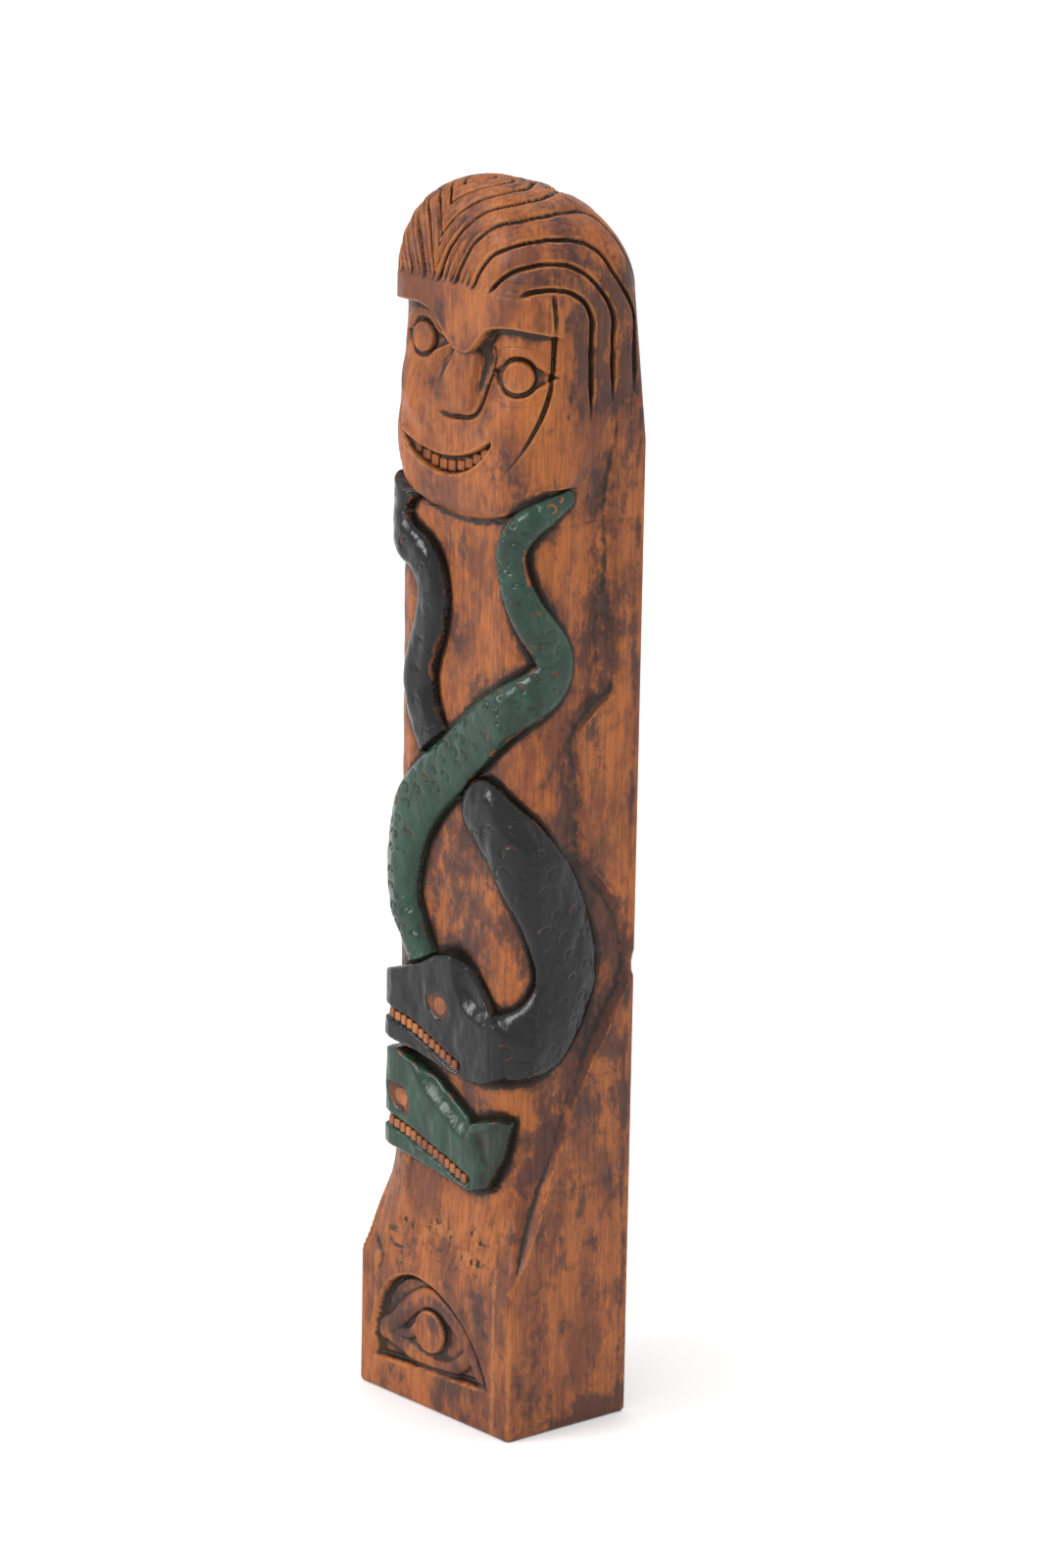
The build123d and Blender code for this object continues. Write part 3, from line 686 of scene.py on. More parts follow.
# %% The heads: mouth bands, eyes and slopes
def head_details(plate, outline, band, eye, eye_size, lean):
    """Cuts the teeth's band and the eye's almond into a flat head."""
    d = near_path(np.array(band, float))[0]
    cut = 1.5 * (1 - soft_step(d, 1.9, 2.5)) * (outline < 0)
    x, y = S - eye[0], T - eye[1]
    u = x * math.cos(lean) + y * math.sin(lean)
    v = -x * math.sin(lean) + y * math.cos(lean)
    reach = np.clip(1 - (u / (eye_size * 1.55)) ** 2, 0, 1)
    almond = np.abs(v) - eye_size * 0.92 * reach
    eye_cut = 0.9 * (1 - soft_step(almond, -0.3, 0.5)) * (reach > 0)
    bare = (1 - soft_step(almond, -0.2, 0.5)) * (reach > 0)
    return plate - np.maximum(cut, eye_cut), bare * (outline < 0.5)


def fall_away(plate, outline, region, drop, start, end):
    """Slope a plate down, inside a loop drawn through the region's points."""
    slope = inside_loop(smooth_path(region), S, T)
    return np.where(outline <= 0, plate - drop * soft_step(-slope, start, end), plate), slope


BLACK_BAND = [(-28, 129.2), (-14, 126.5), (0, 121.5), (8.5, 118.2)]
GREEN_BAND = [(-28, 93.5), (-14, 90.5), (0, 86.5), (14.5, 81.8)]
black_plate, black_bare = head_details(black_plate, black_plate_out, BLACK_BAND, (-0.5, 136.0), 4.2, -0.35)
green_plate, green_bare = head_details(green_plate, green_plate_out, GREEN_BAND, (-19.0, 101.0), 4.2, -0.75)
green_plate, _ = fall_away(green_plate, green_plate_out, [
    (-22, 122), (-9, 108.5), (2, 100.5), (10.5, 96), (15.5, 98.5), (16, 112), (10, 122)], 3.0, -1.2, 5.5)
green_plate, nape = fall_away(green_plate, green_plate_out, [
    (15.8, 98.5), (34, 108), (34, 76), (19, 78), (20.5, 88)], 1.8, -1.0, 3.0)
black_plate, _ = fall_away(black_plate, black_plate_out, [
    (5.2, 158), (6.5, 147), (10.5, 139.5), (16, 136), (24, 135.5), (36, 150), (20, 160)], 2.8, -1.0, 4.5)
print("flat heads stand", black_plate.max().round(2), "and", green_plate.max().round(2), "mm")

# %% [markdown]
# The scales are only hinted at: rows of small crescent cuts, made by pushing a curved gouge
# straight in.  They follow each body's own length and width, with a little play in place and
# size, and here and there one has broken the paint and shows wood.

# %% Scale nicks: small crescent gouge cuts
def nicks(half, along, across, spacing, rows, size, seed):
    """Depth and bare-wood mask of crescent cuts set out along a body."""
    local = np.random.default_rng(seed)
    depth = np.zeros_like(along)
    chipped = np.zeros_like(along)
    length = along.max()
    for k in range(int(length / spacing)):
        for order, row in enumerate(rows):
            if local.random() < 0.16:
                continue
            u0 = (k + 0.5 + 0.5 * (order % 2)) * spacing + local.uniform(-1.0, 1.0)
            v0 = row + local.uniform(-0.06, 0.06)
            r = size * local.uniform(0.75, 1.15)
            u, v = along - u0, across - v0 * half
            reach = np.hypot(u, v * 0.9)
            open_side = u < r * 0.35
            cut = (1 - soft_step(np.abs(reach - r), 0.15, 0.62)) * open_side
            scoop = (1 - soft_step(reach, 0, r)) * 0.45
            depth = np.maximum(depth, (0.55 * cut + 0.35 * scoop) * local.uniform(0.7, 1.2))
            if local.random() < 0.22:
                chipped = np.maximum(chipped, cut * local.uniform(0.3, 1.0))
    return depth, chipped


green_nick, green_chip = nicks(green_half, green_along, green_across, 6.2, [-0.58, -0.12, 0.36], 1.2, 51)
coil_nick, coil_chip = nicks(coil_half, coil_along, coil_across, 8.0, [-0.5, 0.0, 0.5], 1.9, 52)
tail_nick, tail_chip = nicks(tail_half, tail_along, tail_across, 11.0, [0.1], 1.2, 53)
green_inner = soft_step(-green_out, 0.4, 1.8)
green_body = green_body - green_nick * green_inner
coil_body = coil_body - 0.9 * coil_nick * soft_step(-coil_out, 0.4, 1.8)
tail_body = tail_body - 0.6 * tail_nick * soft_step(-tail_out, 0.4, 1.8)
print("deepest nick", green_nick.max().round(2), "mm")

# %% [markdown]
# A body can't stand higher than the block it was cut from, and round the corner the block
# leaves less room.  So each body is pressed into the room there is.  Where two cross, the
# lower one is tucked under, and the gouge that went round every body left a dip beside it.

# %% Seating the snakes
lump = 0.34 * waver(5, 8, 61) + 0.18 * waver(2.6, 3.6, 62)


def seat(shape, out):
    """A snake's map: a rounded back that uses whatever room the block leaves above the ground."""
    room = np.clip((BLOCK_MAP - 0.12 - dished) / 5.5, 0.1, 1)
    placed = dished + np.maximum(shape, 0) * room + lump * (out < 0) * soft_step(-out, 0, 2)
    return np.where(out > 0, wood_ground - 0.3 + shape, soft_min(placed, BLOCK_MAP - 0.10, 0.2))


def below(lower, upper, out):
    """Tuck one body under another where they cross."""
    return np.where(out < 0.6, np.minimum(lower, upper - 0.5), lower)


print("lumps of", lump.max().round(2), "mm")

# %% Moats beside the bodies, and which lies over which
edge_all = np.minimum.reduce([green_out, tail_out, coil_out, black_plate_out, green_plate_out])
moat = 0.9 * np.exp(-np.maximum(edge_all, 0) / 2.2) * (T < CHIN + 12)
chin_moat = 0.9 * np.exp(-((T - chin_line + 1.0) / 1.2) ** 2)
wood = wood - moat * (behind < 4) - chin_moat * (SIDE < 42) * (T < 312)
wood_ground = wood
green_map = seat(green_body, green_out)
tail_map = seat(tail_body, tail_out)
coil_map = seat(coil_body, coil_out)
black_head_map = seat(black_plate, black_plate_out)
green_head_map = seat(green_plate, green_plate_out)
black_map = soft_max(coil_map, black_head_map, 0.9)
black_map = np.minimum(black_map, BLOCK_MAP - 0.10)
tail_map = below(tail_map, green_map, green_out)
black_map = np.where(green_plate_out < 0, np.minimum(black_map, green_head_map - 0.5), black_map)
green_map = below(green_map, black_map, black_plate_out)
black_map = np.where(T > 190, below(black_map, green_map, green_out), black_map)
skin = np.maximum.reduce([wood, green_map, tail_map, black_map, green_head_map])
print("moats cut; highest snake point", skin[T < CHIN].max().round(2))

# %% [markdown]
# ## Painted shade and dirt in the cuts, and where paint wears
# Every deep cut is darkened nearly to black, which is shade painted into the colour together with
# dirt, and the stain is thin on every worn edge.  The carved shape itself says where those are: a
# point below the average of its surroundings is a recess, and a point above it is an edge.  Worked
# out from the sheet, both stay right if a cut is moved.

# %% Recesses, edges and bare wood
def blur(a, reach):
    """Average over a square of the sheet, three times, which is close to a soft round brush."""
    n = max(1, int(round(reach / STEP / 2)))
    for axis in (0, 1):
        for _ in range(3):
            pad = [(n + 1, n) if i == axis else (0, 0) for i in range(2)]
            total = np.cumsum(np.pad(a, pad, mode="edge"), axis)
            top = np.take(total, np.arange(2 * n + 1, total.shape[axis]), axis)
            low = np.take(total, np.arange(0, total.shape[axis] - 2 * n - 1), axis)
            a = (top - low) / (2 * n + 1)
    return a


# How far each point lies below its surroundings.  In the colour this darkens every cut: shade painted in,
# together with dirt.
fine_dip = blur(skin, 1.6) - skin
wide_dip = blur(skin, 5.0) - skin
recess = np.clip(fine_dip / 0.6, 0, 0.9) + np.clip(wide_dip / 1.6, 0, 0.8)
# A thin dark line where the ground meets a snake: painted shade between the parts, with stain.
near_paint = np.exp(-np.maximum(edge_all, 0) / 1.0) * (edge_all > -0.5)
recess = np.clip(recess + 0.55 * near_paint * (T < CHIN + 10), 0, 1.5)
edge = np.clip((skin - blur(skin, 0.8)) / 0.22 - 0.35, 0, 1.1)
bare = np.maximum.reduce([green_bare, black_bare, green_chip * green_inner * 0.9,
                          coil_chip * soft_step(-coil_out, 0.4, 1.6) * 0.8,
                          tail_chip * soft_step(-tail_out, 0.4, 1.6) * 0.6])
print("recess covers", round(float((recess > 0.5).mean()), 3), "bare", round(float((bare > 0.5).mean()), 3))

# %% [markdown]
# The maker let the dark stain pool round the snakes, in the hollows, beside the hair and round
# the foot, and rubbed it back in a few places.  Round the snakes, in the side hollows and the
# scallop, beside the hair and left of the nose the darkening is shade painted into the colour as
# well.  Each pool is a soft patch; a negative one is rubbed back.

# %% Where the stain pooled, and where shade is painted in
POOLS = [                                   # amount, coordinate, across, up, half-width, half-height
    # The first two pools lie in the side hollows: painted shade there, with pooled stain.
    (0.85, SIDE, 56, 150, 9, 34), (0.65, SIDE, 55, 268, 7, 40), (0.7, SIDE, 40, 100, 8, 26),
    (0.55, S, 27, 301, 9, 6), (0.75, S, 3, 176, 13, 22),
    (-0.9, S, -22, 366, 7, 6), (-0.8, S, 10, 358, 8, 3), (-1.0, S, 25, 107, 7, 8),
    (-0.9, S, 9, 57, 7, 6), (-0.7, S, 44, 312, 5, 12)]
stain = sum(amount * patch(*place) for amount, *place in POOLS)
# Darker round the snakes, fading over a few millimetres: painted shade beside the raised bodies, with stain.
stain += 0.75 * np.exp(-np.maximum(edge_all, 0) / 6.0) * (T < CHIN) * (behind < 2)
# Darker on the head's sides beside the hair: painted shade, with stain.
stain += 0.9 * soft_step(SIDE, 38, 47) * soft_step(T, 318, 340) * (1 - soft_step(T, 372, 386))
# Darker on the left flank of the nose: painted shade, with some stain.
stain += 0.9 * patch(S, -6.5, 336, 4.5, 7) * (mouth_inside < 0)
# Darker in the scallop inside each side's ridge: painted shade in that hollow, with stain.
stain += 0.65 * np.exp(-((behind + 5) / 5) ** 2) * (T > 84) * (T < 318)
stain += 0.55 * (SIDE > 48) * soft_step(T, 62, 84) * (1 - soft_step(T, 128, 160))
stain += 0.35 * in_hair * (SIDE > 20) + 0.3 * np.exp(-((T - 130) / 50) ** 2) * (SIDE < 40)
stain += 0.5 * (T < 46) * (SIDE < 25) + 0.35 * (T < 62) * (SIDE > 50)
rear_line = (IY - 21.5 + 0.8 * waver(8, 14, 76)) / 0.8
stain += 0.9 * np.exp(-rear_line ** 2) * (SIDE > 50) * (T < 330)
foot_pool = 1.0 + 11 * np.clip((IY + 12) / 36, 0, 1) + 3.0 * waver(5, 4, 75)
stain += 1.2 * (1 - soft_step(T, foot_pool - 4.5, foot_pool + 2.5)) * (SIDE > 30)
stain = np.clip(stain - 0.6 * edge, -1, 1.6)
edge = np.maximum(edge, 1.1 * np.exp(-((SIDE - 26.6) / 0.9) ** 2) * (1 - soft_step(T, 50, 66)))
edge = np.maximum(edge, 0.9 * torn * (T > 46))
# The green head's nape slope is darkened as well: painted shade on that slope.
recess = np.clip(recess + 0.9 * soft_step(-nape, -0.5, 2.5) * (green_plate_out < 1), 0, 1.5)
print("stain from", stain.min().round(2), "to", stain.max().round(2))

# %% [markdown]
# ## From the sheet to solid pieces
# Every node of the frame gets its own closed solid.  Post pieces are rings cut between two
# rows of the grid.  A feature is a closed shell over its own part of the sheet, and the ring
# below it is lowered to make room, so neighbours share one clean line.

# %% From height maps to points in space
CROWN_X, CROWN_Y = -3.0, -5.0               # the dome's top, from the middle of the block, mm
HAIR_ROOM = 5.0                             # left below the crown for the hair, mm
INSIDE = 0.02                               # everything stays this far inside the block, mm


def lay_out(height):
    """Points in space, in metres, for a height map over the whole grid."""
    shrink = np.cos(LEAN)[:, None]
    rise = np.sin(LEAN)[:, None]
    x = IX * shrink + CROWN_X * (1 - shrink) + NX * shrink * height
    y = IY * shrink + CROWN_Y * (1 - shrink) + NY * shrink * height
    straight = np.minimum(UP, DOME_FOOT)[:, None]
    z = straight + (CROWN - DOME_FOOT - HAIR_ROOM) * rise + height * rise
    # the rear corners of the head are rounded off
    radius = np.interp(T, [316, 336, DOME_FOOT, DOME_FOOT + DOME_RUN], [0.5, 5, 12, 12]) * shrink
    qx = np.abs(x) - (BLOCK_SIDE * shrink - radius) + CROWN_X * (1 - shrink) * np.sign(-x)
    qy = y - (BLOCK_BACK * shrink - radius) - CROWN_Y * (1 - shrink)
    reach = np.hypot(np.maximum(qx, 0), np.maximum(qy, 0))
    k = np.where((qx > 0) & (qy > 0) & (reach > radius), radius / np.maximum(reach, 1e-6), 1.0)
    x = x - np.sign(x) * np.maximum(qx, 0) * (1 - k)
    y = y - np.maximum(qy, 0) * (1 - k)
    x = np.clip(x, INSIDE - BLOCK_SIDE, BLOCK_SIDE - INSIDE)
    y = np.clip(y, BLOCK_FRONT + INSIDE, BLOCK_BACK - INSIDE)
    return np.dstack([x, y, np.broadcast_to(z, x.shape)]) * MM


print("crown at", (lay_out(wood)[-1, 0] / MM).round(1))

# %% A mesh object, thinned where it is heavy
MOST_TRIANGLES = 198000
GRID = np.arange(S.size).reshape(S.shape)   # number of each grid point
LAYERS = {"recess": recess, "edge": edge, "bare": bare, "stain": stain}
pieces, finish_of = {}, {}


def thin(piece):
    """Collapse the flattest faces of a heavy piece, and leave a plain mesh."""
    count = sum(len(p.vertices) - 2 for p in piece.data.polygons)
    if count <= MOST_TRIANGLES:
        return
    modifier = piece.modifiers.new("thin", "DECIMATE")
    modifier.ratio = MOST_TRIANGLES / count
    solid = bpy.data.meshes.new_from_object(piece.evaluated_get(bpy.context.evaluated_depsgraph_get()))
    piece.modifiers.remove(modifier)
    piece.data = solid
    print(piece.name, "thinned from", count, "triangles")


def new_piece(name, points, faces, smooth_faces, slot, cells, node):
    """A mesh object that rides on the root; cells say which grid point each vertex came from."""
    mesh = bpy.data.meshes.new(name)
    mesh.from_pydata(points.tolist(), [], faces)
    mesh.update()
    mesh.shade_smooth()
    flags = np.zeros(len(faces), bool)
    flags[:smooth_faces] = True
    mesh.polygons.foreach_set("use_smooth", flags)
    for label, values in LAYERS.items():
        layer = mesh.attributes.new(label, "FLOAT", "POINT")
        layer.data.foreach_set("value", values.ravel()[cells].astype(np.float32))
    piece = bpy.data.objects.new(name, mesh)
    scene.collection.objects.link(piece)
    thin(piece)
    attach(piece, "root")
    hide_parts(node)
    pieces[name], finish_of[name] = piece, slot


print("layers", list(LAYERS))

# %% [markdown]
# A ring is a stretch of the whole post, closed by a flat cap at each end.  A shell covers only
# some cells of the grid: its upper side is one height map, its underside another, and a wall
# runs round wherever a cell has no neighbour.  Both are closed, like the wood they stand for.

# %% Rings and shells
def ring_piece(name, height, row_from, row_to, node):
    """A closed solid from one row of the grid to another, capped flat at each end."""
    points = lay_out(height)[row_from:row_to + 1]
    rows, cols = points.shape[:2]
    index = np.arange(rows * cols).reshape(rows, cols)
    right = np.roll(index, -1, 1)
    faces = np.stack([index[:-1], right[:-1], right[1:], index[1:]], -1).reshape(-1, 4).tolist()
    caps = [index[0][::-1].tolist(), index[-1].tolist()]
    cells = GRID[row_from:row_to + 1].ravel()
    new_piece(name, points.reshape(-1, 3), faces + caps, len(faces), "stained_wood", cells, node)


def shell_piece(name, owned, height, under, slot, node):
    """A closed shell over the cells whose lower left point is owned, between two height maps."""
    corners = np.stack([GRID[:-1, :-1], GRID[:-1, 1:], GRID[1:, 1:], GRID[1:, :-1]], -1)[owned[:-1, :-1]]
    used = np.unique(corners)
    lookup = np.full(S.size, -1)
    lookup[used] = np.arange(len(used))
    top = lookup[corners]
    bottom = top[:, ::-1] + len(used)
    sides = np.concatenate([np.stack([top[:, i], top[:, (i + 1) % 4]], -1) for i in range(4)])
    key = np.sort(sides, 1)
    order = np.lexsort((key[:, 1], key[:, 0]))
    same = np.all(key[order][1:] == key[order][:-1], 1)
    single = np.ones(len(order), bool)
    single[1:] &= ~same
    single[:-1] &= ~same
    rim = sides[order[single]]
    walls = np.stack([rim[:, 1], rim[:, 0], rim[:, 0] + len(used), rim[:, 1] + len(used)], -1)
    upper = lay_out(height).reshape(-1, 3)[used]
    lower = lay_out(np.minimum(under, height - 0.2)).reshape(-1, 3)[used]
    new_piece(name, np.vstack([upper, lower]), np.vstack([top, bottom, walls]).tolist(), len(top), slot,
              np.concatenate([used, used]), node)


def row_of(height):
    return int(np.argmin(np.abs(UP - height)))


print("rows at the shaft, chin and hairline", row_of(SHAFT_FOOT), row_of(CHIN), row_of(HAIRLINE))

# %% [markdown]
# ## The wooden features
# Every feature of the head and the plinth's eye is a solid of its own, so it can be named,
# weighed and finished apart.  On the sheet each one is simply the set of points it owns.

# %% Which part of the sheet belongs to which feature
eye_x, eye_y = eye_coordinates()
head_rows = (T >= CHIN - 3) & (T <= HAIRLINE)
front_of_head = head_rows & (SIDE < 46)
nose_zone = front_of_head & (nose_mask > 0.45)
iris_zone = front_of_head & (np.hypot(eye_x, eye_y) < 5.2)
lids_zone = front_of_head & (np.abs(eye_x) < 12.4) & (np.abs(eye_y) < 9.6) & ~iris_zone
lids_zone &= (np.hypot(eye_x / 1.35, eye_y) < 9.2) & ~nose_zone & (T < brow_edge - 1)
brow_zone = front_of_head & (T > brow_edge - 0.2) & (np.abs(S - FACE_MIDDLE) < 36) & ~nose_zone
locks_zone = head_rows & (T > 328) & (SIDE >= 41) & (SIDE < SIDE_END - 1)
face_zone = front_of_head & (T > chin_line) & (np.abs(S - 2) < 37)
face_zone &= ~(nose_zone | brow_zone | lids_zone | iris_zone)
plinth_iris = (np.hypot(FX - EYE_MIDDLE[0], T - EYE_MIDDLE[1]) < IRIS) & (SIDE < FRONT_END)
plinth_lids = (panel_outline < -1.2) & ~plinth_iris
zones = {"nose": nose_zone, "eye_irises": iris_zone, "eyelids": lids_zone, "brow_ridge": brow_zone,
         "side_lock_left": locks_zone & (S < 0), "side_lock_right": locks_zone & (S > 0),
         "face": face_zone, "plinth_eye_iris": plinth_iris, "plinth_eye_lids": plinth_lids}
print("zones", {name: int(zone.sum()) for name, zone in zones.items()})

# %% One owner for each point, and the rings lowered below
INLET = 2.0                                 # how far a ring is lowered below a feature, mm
owner = np.full(S.shape, -1)
for number, zone in enumerate(zones.values()):
    owner = np.where((owner < 0) & zone, number, owner)
zones = {name: owner == number for number, name in enumerate(zones)}
covered = owner >= 0
make_room = covered.copy()                  # points with a feature's cell on all four sides
make_room[1:] &= covered[:-1]
make_room[:, 1:] &= covered[:, :-1]
make_room[1:, 1:] &= covered[:-1, :-1]
lowered = np.where(make_room, wood - INLET, wood)
print("lowered points", int(make_room.sum()))

# %% The wood
ring_piece("plinth_wood", lowered, 0, row_of(SHAFT_FOOT), "plinth")
ring_piece("shaft_wood", lowered, row_of(SHAFT_FOOT), row_of(CHIN), "shaft")
ring_piece("head_wood", lowered, row_of(CHIN), row_of(HAIRLINE), "head_core")
ring_piece("hair_wood", lowered, row_of(HAIRLINE), len(UP) - 1, "hair_cap")
for name, own in zones.items():
    shell_piece(name + "_wood", own, wood, wood - INLET - 0.6, "stained_wood", name)
print("wooden pieces", len(pieces))

# %% [markdown]
# The snakes are shells too, set a little into the ground.  The black one is a tail, a coil, a
# head and a jaw, because the green one crosses over it; the green one is a body, a head and a
# jaw.  Each eye is a small disc of bare wood.

# %% The snakes
PAINT_EDGE = 1.2                            # how far a shell runs past its outline, mm
EYE_DISC = 3.0                              # half-width of a snake's bare eye, mm
below_black_band = near_path(np.array(BLACK_BAND, float))[1] < 0
below_green_band = near_path(np.array(GREEN_BAND, float))[1] < 0
black_area = np.minimum(coil_out, black_plate_out) < PAINT_EDGE
black_jaw = black_area & below_black_band & (S < 9.5) & (black_plate_out < PAINT_EDGE) & (T < 131)
black_eye = black_area & (np.hypot(S + 0.5, T - 136) < EYE_DISC)
black_coil = black_area & ((S > 24) | (T > 156)) & ~black_jaw
black_head = black_area & ~black_coil & ~black_jaw & ~black_eye
green_area = green_plate_out < PAINT_EDGE
green_jaw = green_area & below_green_band & (S < 16) & (T < 96)
green_eye = green_area & (np.hypot(S + 19, T - 101) < EYE_DISC)
green_head = green_area & ~green_jaw & ~green_eye
for name, owned, height, slot, node in (
        ("black_coil_paint", black_coil, black_map, "black_paint", "black_snake_coil"),
        ("black_head_paint", black_head, black_map, "black_paint", "black_snake_head"),
        ("black_jaw_paint", black_jaw, black_map, "black_paint", "black_snake_jaw"),
        ("black_eye_bare", black_eye, black_map, "bare_wood", "black_snake_eye"),
        ("black_tail_paint", tail_out < PAINT_EDGE, tail_map, "black_paint", "black_snake_tail"),
        ("green_head_paint", green_head, green_head_map, "green_paint", "green_snake_head"),
        ("green_jaw_paint", green_jaw, green_head_map, "green_paint", "green_snake_jaw"),
        ("green_eye_bare", green_eye, green_head_map, "bare_wood", "green_snake_eye"),
        ("green_body_paint", green_out < PAINT_EDGE, green_map, "green_paint", "green_snake_body")):
    shell_piece(name, owned, height, wood - 1.0, slot, node)
for piece in pieces.values():
    print(piece.name, len(piece.data.polygons))

# %% [markdown]
# ## The teeth
# The carver left the teeth standing between small cuts, so they are alike but never equal.
# They could be modelled one by one.  Geometry Nodes are better here: one tree puts a rounded
# block at every step along a line, and its inputs hold the size and the step, so three rows
# share it.  The random size has a fixed seed, and the tree ends in real geometry with its
# material set, because instances would be lost when the object is exported.

# %% Teeth along a line
def teeth_group():
    """Blocks side by side along a curve; their size, pitch and material are inputs."""
    group = bpy.data.node_groups.new("teeth_along_line", "GeometryNodeTree")
    face = group.interface
    face.new_socket("Geometry", in_out="INPUT", socket_type="NodeSocketGeometry")
    for label, value in (("Width", 0.0022), ("Height", 0.003), ("Thickness", 0.0016), ("Pitch", 0.0027)):
        socket = face.new_socket(label, in_out="INPUT", socket_type="NodeSocketFloat")
        socket.default_value = value
    face.new_socket("Material", in_out="INPUT", socket_type="NodeSocketMaterial")
    face.new_socket("Geometry", in_out="OUTPUT", socket_type="NodeSocketGeometry")
    n, link = group.nodes, group.links.new
    start, end = n.new("NodeGroupInput"), n.new("NodeGroupOutput")
    to_curve = n.new("GeometryNodeMeshToCurve")
    resample = n.new("GeometryNodeResampleCurve")
    resample.mode = "LENGTH"
    cube = n.new("GeometryNodeMeshCube")
    size = n.new("ShaderNodeCombineXYZ")
    bevel = n.new("GeometryNodeSubdivisionSurface")
    bevel.inputs["Edge Crease"].default_value = 0.93
    bevel.inputs["Level"].default_value = 2
    place = n.new("GeometryNodeInstanceOnPoints")
    vary = n.new("FunctionNodeRandomValue")
    vary.data_type = "FLOAT_VECTOR"
    vary.inputs[0].default_value = (0.86, 0.86, 0.92)
    vary.inputs[1].default_value = (1.08, 1.04, 1.04)
    vary.inputs["Seed"].default_value = 5
    real = n.new("GeometryNodeRealizeInstances")
    paint = n.new("GeometryNodeSetMaterial")
    link(start.outputs["Geometry"], to_curve.inputs[0])
    link(to_curve.outputs[0], resample.inputs["Curve"])
    link(start.outputs["Pitch"], resample.inputs["Length"])
    for axis, label in (("X", "Width"), ("Y", "Thickness"), ("Z", "Height")):
        link(start.outputs[label], size.inputs[axis])
    link(size.outputs[0], cube.inputs["Size"])
    link(cube.outputs["Mesh"], bevel.inputs["Mesh"])
    link(resample.outputs["Curve"], place.inputs["Points"])
    link(bevel.outputs["Mesh"], place.inputs["Instance"])
    link(vary.outputs[0], place.inputs["Scale"])
    link(place.outputs["Instances"], real.inputs["Geometry"])
    link(real.outputs["Geometry"], paint.inputs["Geometry"])
    link(start.outputs["Material"], paint.inputs["Material"])
    link(paint.outputs["Geometry"], end.inputs["Geometry"])
    return group


TEETH = teeth_group()
print("tree", TEETH.name, "with", len(TEETH.nodes), "nodes")

# %% One row of teeth
def teeth_row(name, line, depth, sizes, slot, node):
    """A row of teeth on the block's front; line holds (across, height) points in mm."""
    points = [(x * MM, (BLOCK_FRONT + depth) * MM, z * MM) for x, z in line]
    mesh = bpy.data.meshes.new(name + "_line")
    mesh.from_pydata(points, [(i, i + 1) for i in range(len(points) - 1)], [])
    guide = bpy.data.objects.new(name, mesh)
    scene.collection.objects.link(guide)
    modifier = guide.modifiers.new("teeth", "NODES")
    modifier.node_group = TEETH
    ids = {item.name: item.identifier for item in TEETH.interface.items_tree if item.in_out == "INPUT"}
    for label, value in zip(("Width", "Height", "Thickness", "Pitch"), sizes):
        modifier[ids[label]] = value * MM
    modifier[ids["Material"]] = materials[slot]
    evaluated = guide.evaluated_get(bpy.context.evaluated_depsgraph_get())
    solid = bpy.data.meshes.new_from_object(evaluated)
    guide.modifiers.remove(modifier)
    guide.data = solid
    solid.shade_smooth()
    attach(guide, "root")
    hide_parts(node)
    pieces[name] = guide
    print(name, len(solid.polygons))


# %% [markdown]
# ## Materials
# Two shared node groups do most of the work.  One draws the figure of the wood, from its
# position in the block, so the grain runs up the post and shows end grain on the dome.  The
# other turns the carved recess and edge values into painted shade with dirt in the cuts, and
# worn edges.  Painted image maps would have to be stretched over every carved wall; noise in
# space has no seams.

# %% Short names for building node trees
class Nodes:
    """Short names for building a node tree."""

    def __init__(self, tree):
        self.tree, self.n, self.link = tree, tree.nodes, tree.links.new

    def put(self, socket, value):
        if hasattr(value, "is_output"):
            self.link(value, socket)
        elif value is not None:
            socket.default_value = value

    def noise(self, vector, scale, detail=3.0, rough=0.55, lacunarity=2.0):
        node = self.n.new("ShaderNodeTexNoise")
        self.put(node.inputs["Vector"], vector)
        for key, value in (("Scale", scale), ("Detail", detail), ("Roughness", rough),
                           ("Lacunarity", lacunarity)):
            node.inputs[key].default_value = value
        return node.outputs["Fac"]

    def stretch(self, vector, scale):
        node = self.n.new("ShaderNodeMapping")
        self.put(node.inputs["Vector"], vector)
        node.inputs["Scale"].default_value = scale
        return node.outputs[0]

    def ramp(self, value, low, high, out_low=0.0, out_high=1.0):
        node = self.n.new("ShaderNodeMapRange")
        node.interpolation_type = "SMOOTHSTEP"
        for key, v in zip(("Value", "From Min", "From Max", "To Min", "To Max"),
                          (value, low, high, out_low, out_high)):
            self.put(node.inputs[key], v)
        return node.outputs["Result"]

    def math(self, kind, a, b=None, clamp=False):
        node = self.n.new("ShaderNodeMath")
        node.operation = kind
        node.use_clamp = clamp
        self.put(node.inputs[0], a)
        self.put(node.inputs[1], b)
        return node.outputs[0]

    def blend(self, a, b, fac, kind="MIX"):
        node = self.n.new("ShaderNodeMix")
        node.data_type = "RGBA"
        node.blend_type = kind
        self.put(node.inputs["Factor"], fac)
        self.put(node.inputs["A"], a)
        self.put(node.inputs["B"], b)
        return next(o for o in node.outputs if o.type == "RGBA")

    def layer(self, name):
        node = self.n.new("ShaderNodeAttribute")
        node.attribute_name = name
        return node.outputs["Fac"]


print("helpers", [word for word in vars(Nodes) if not word.startswith("_")])

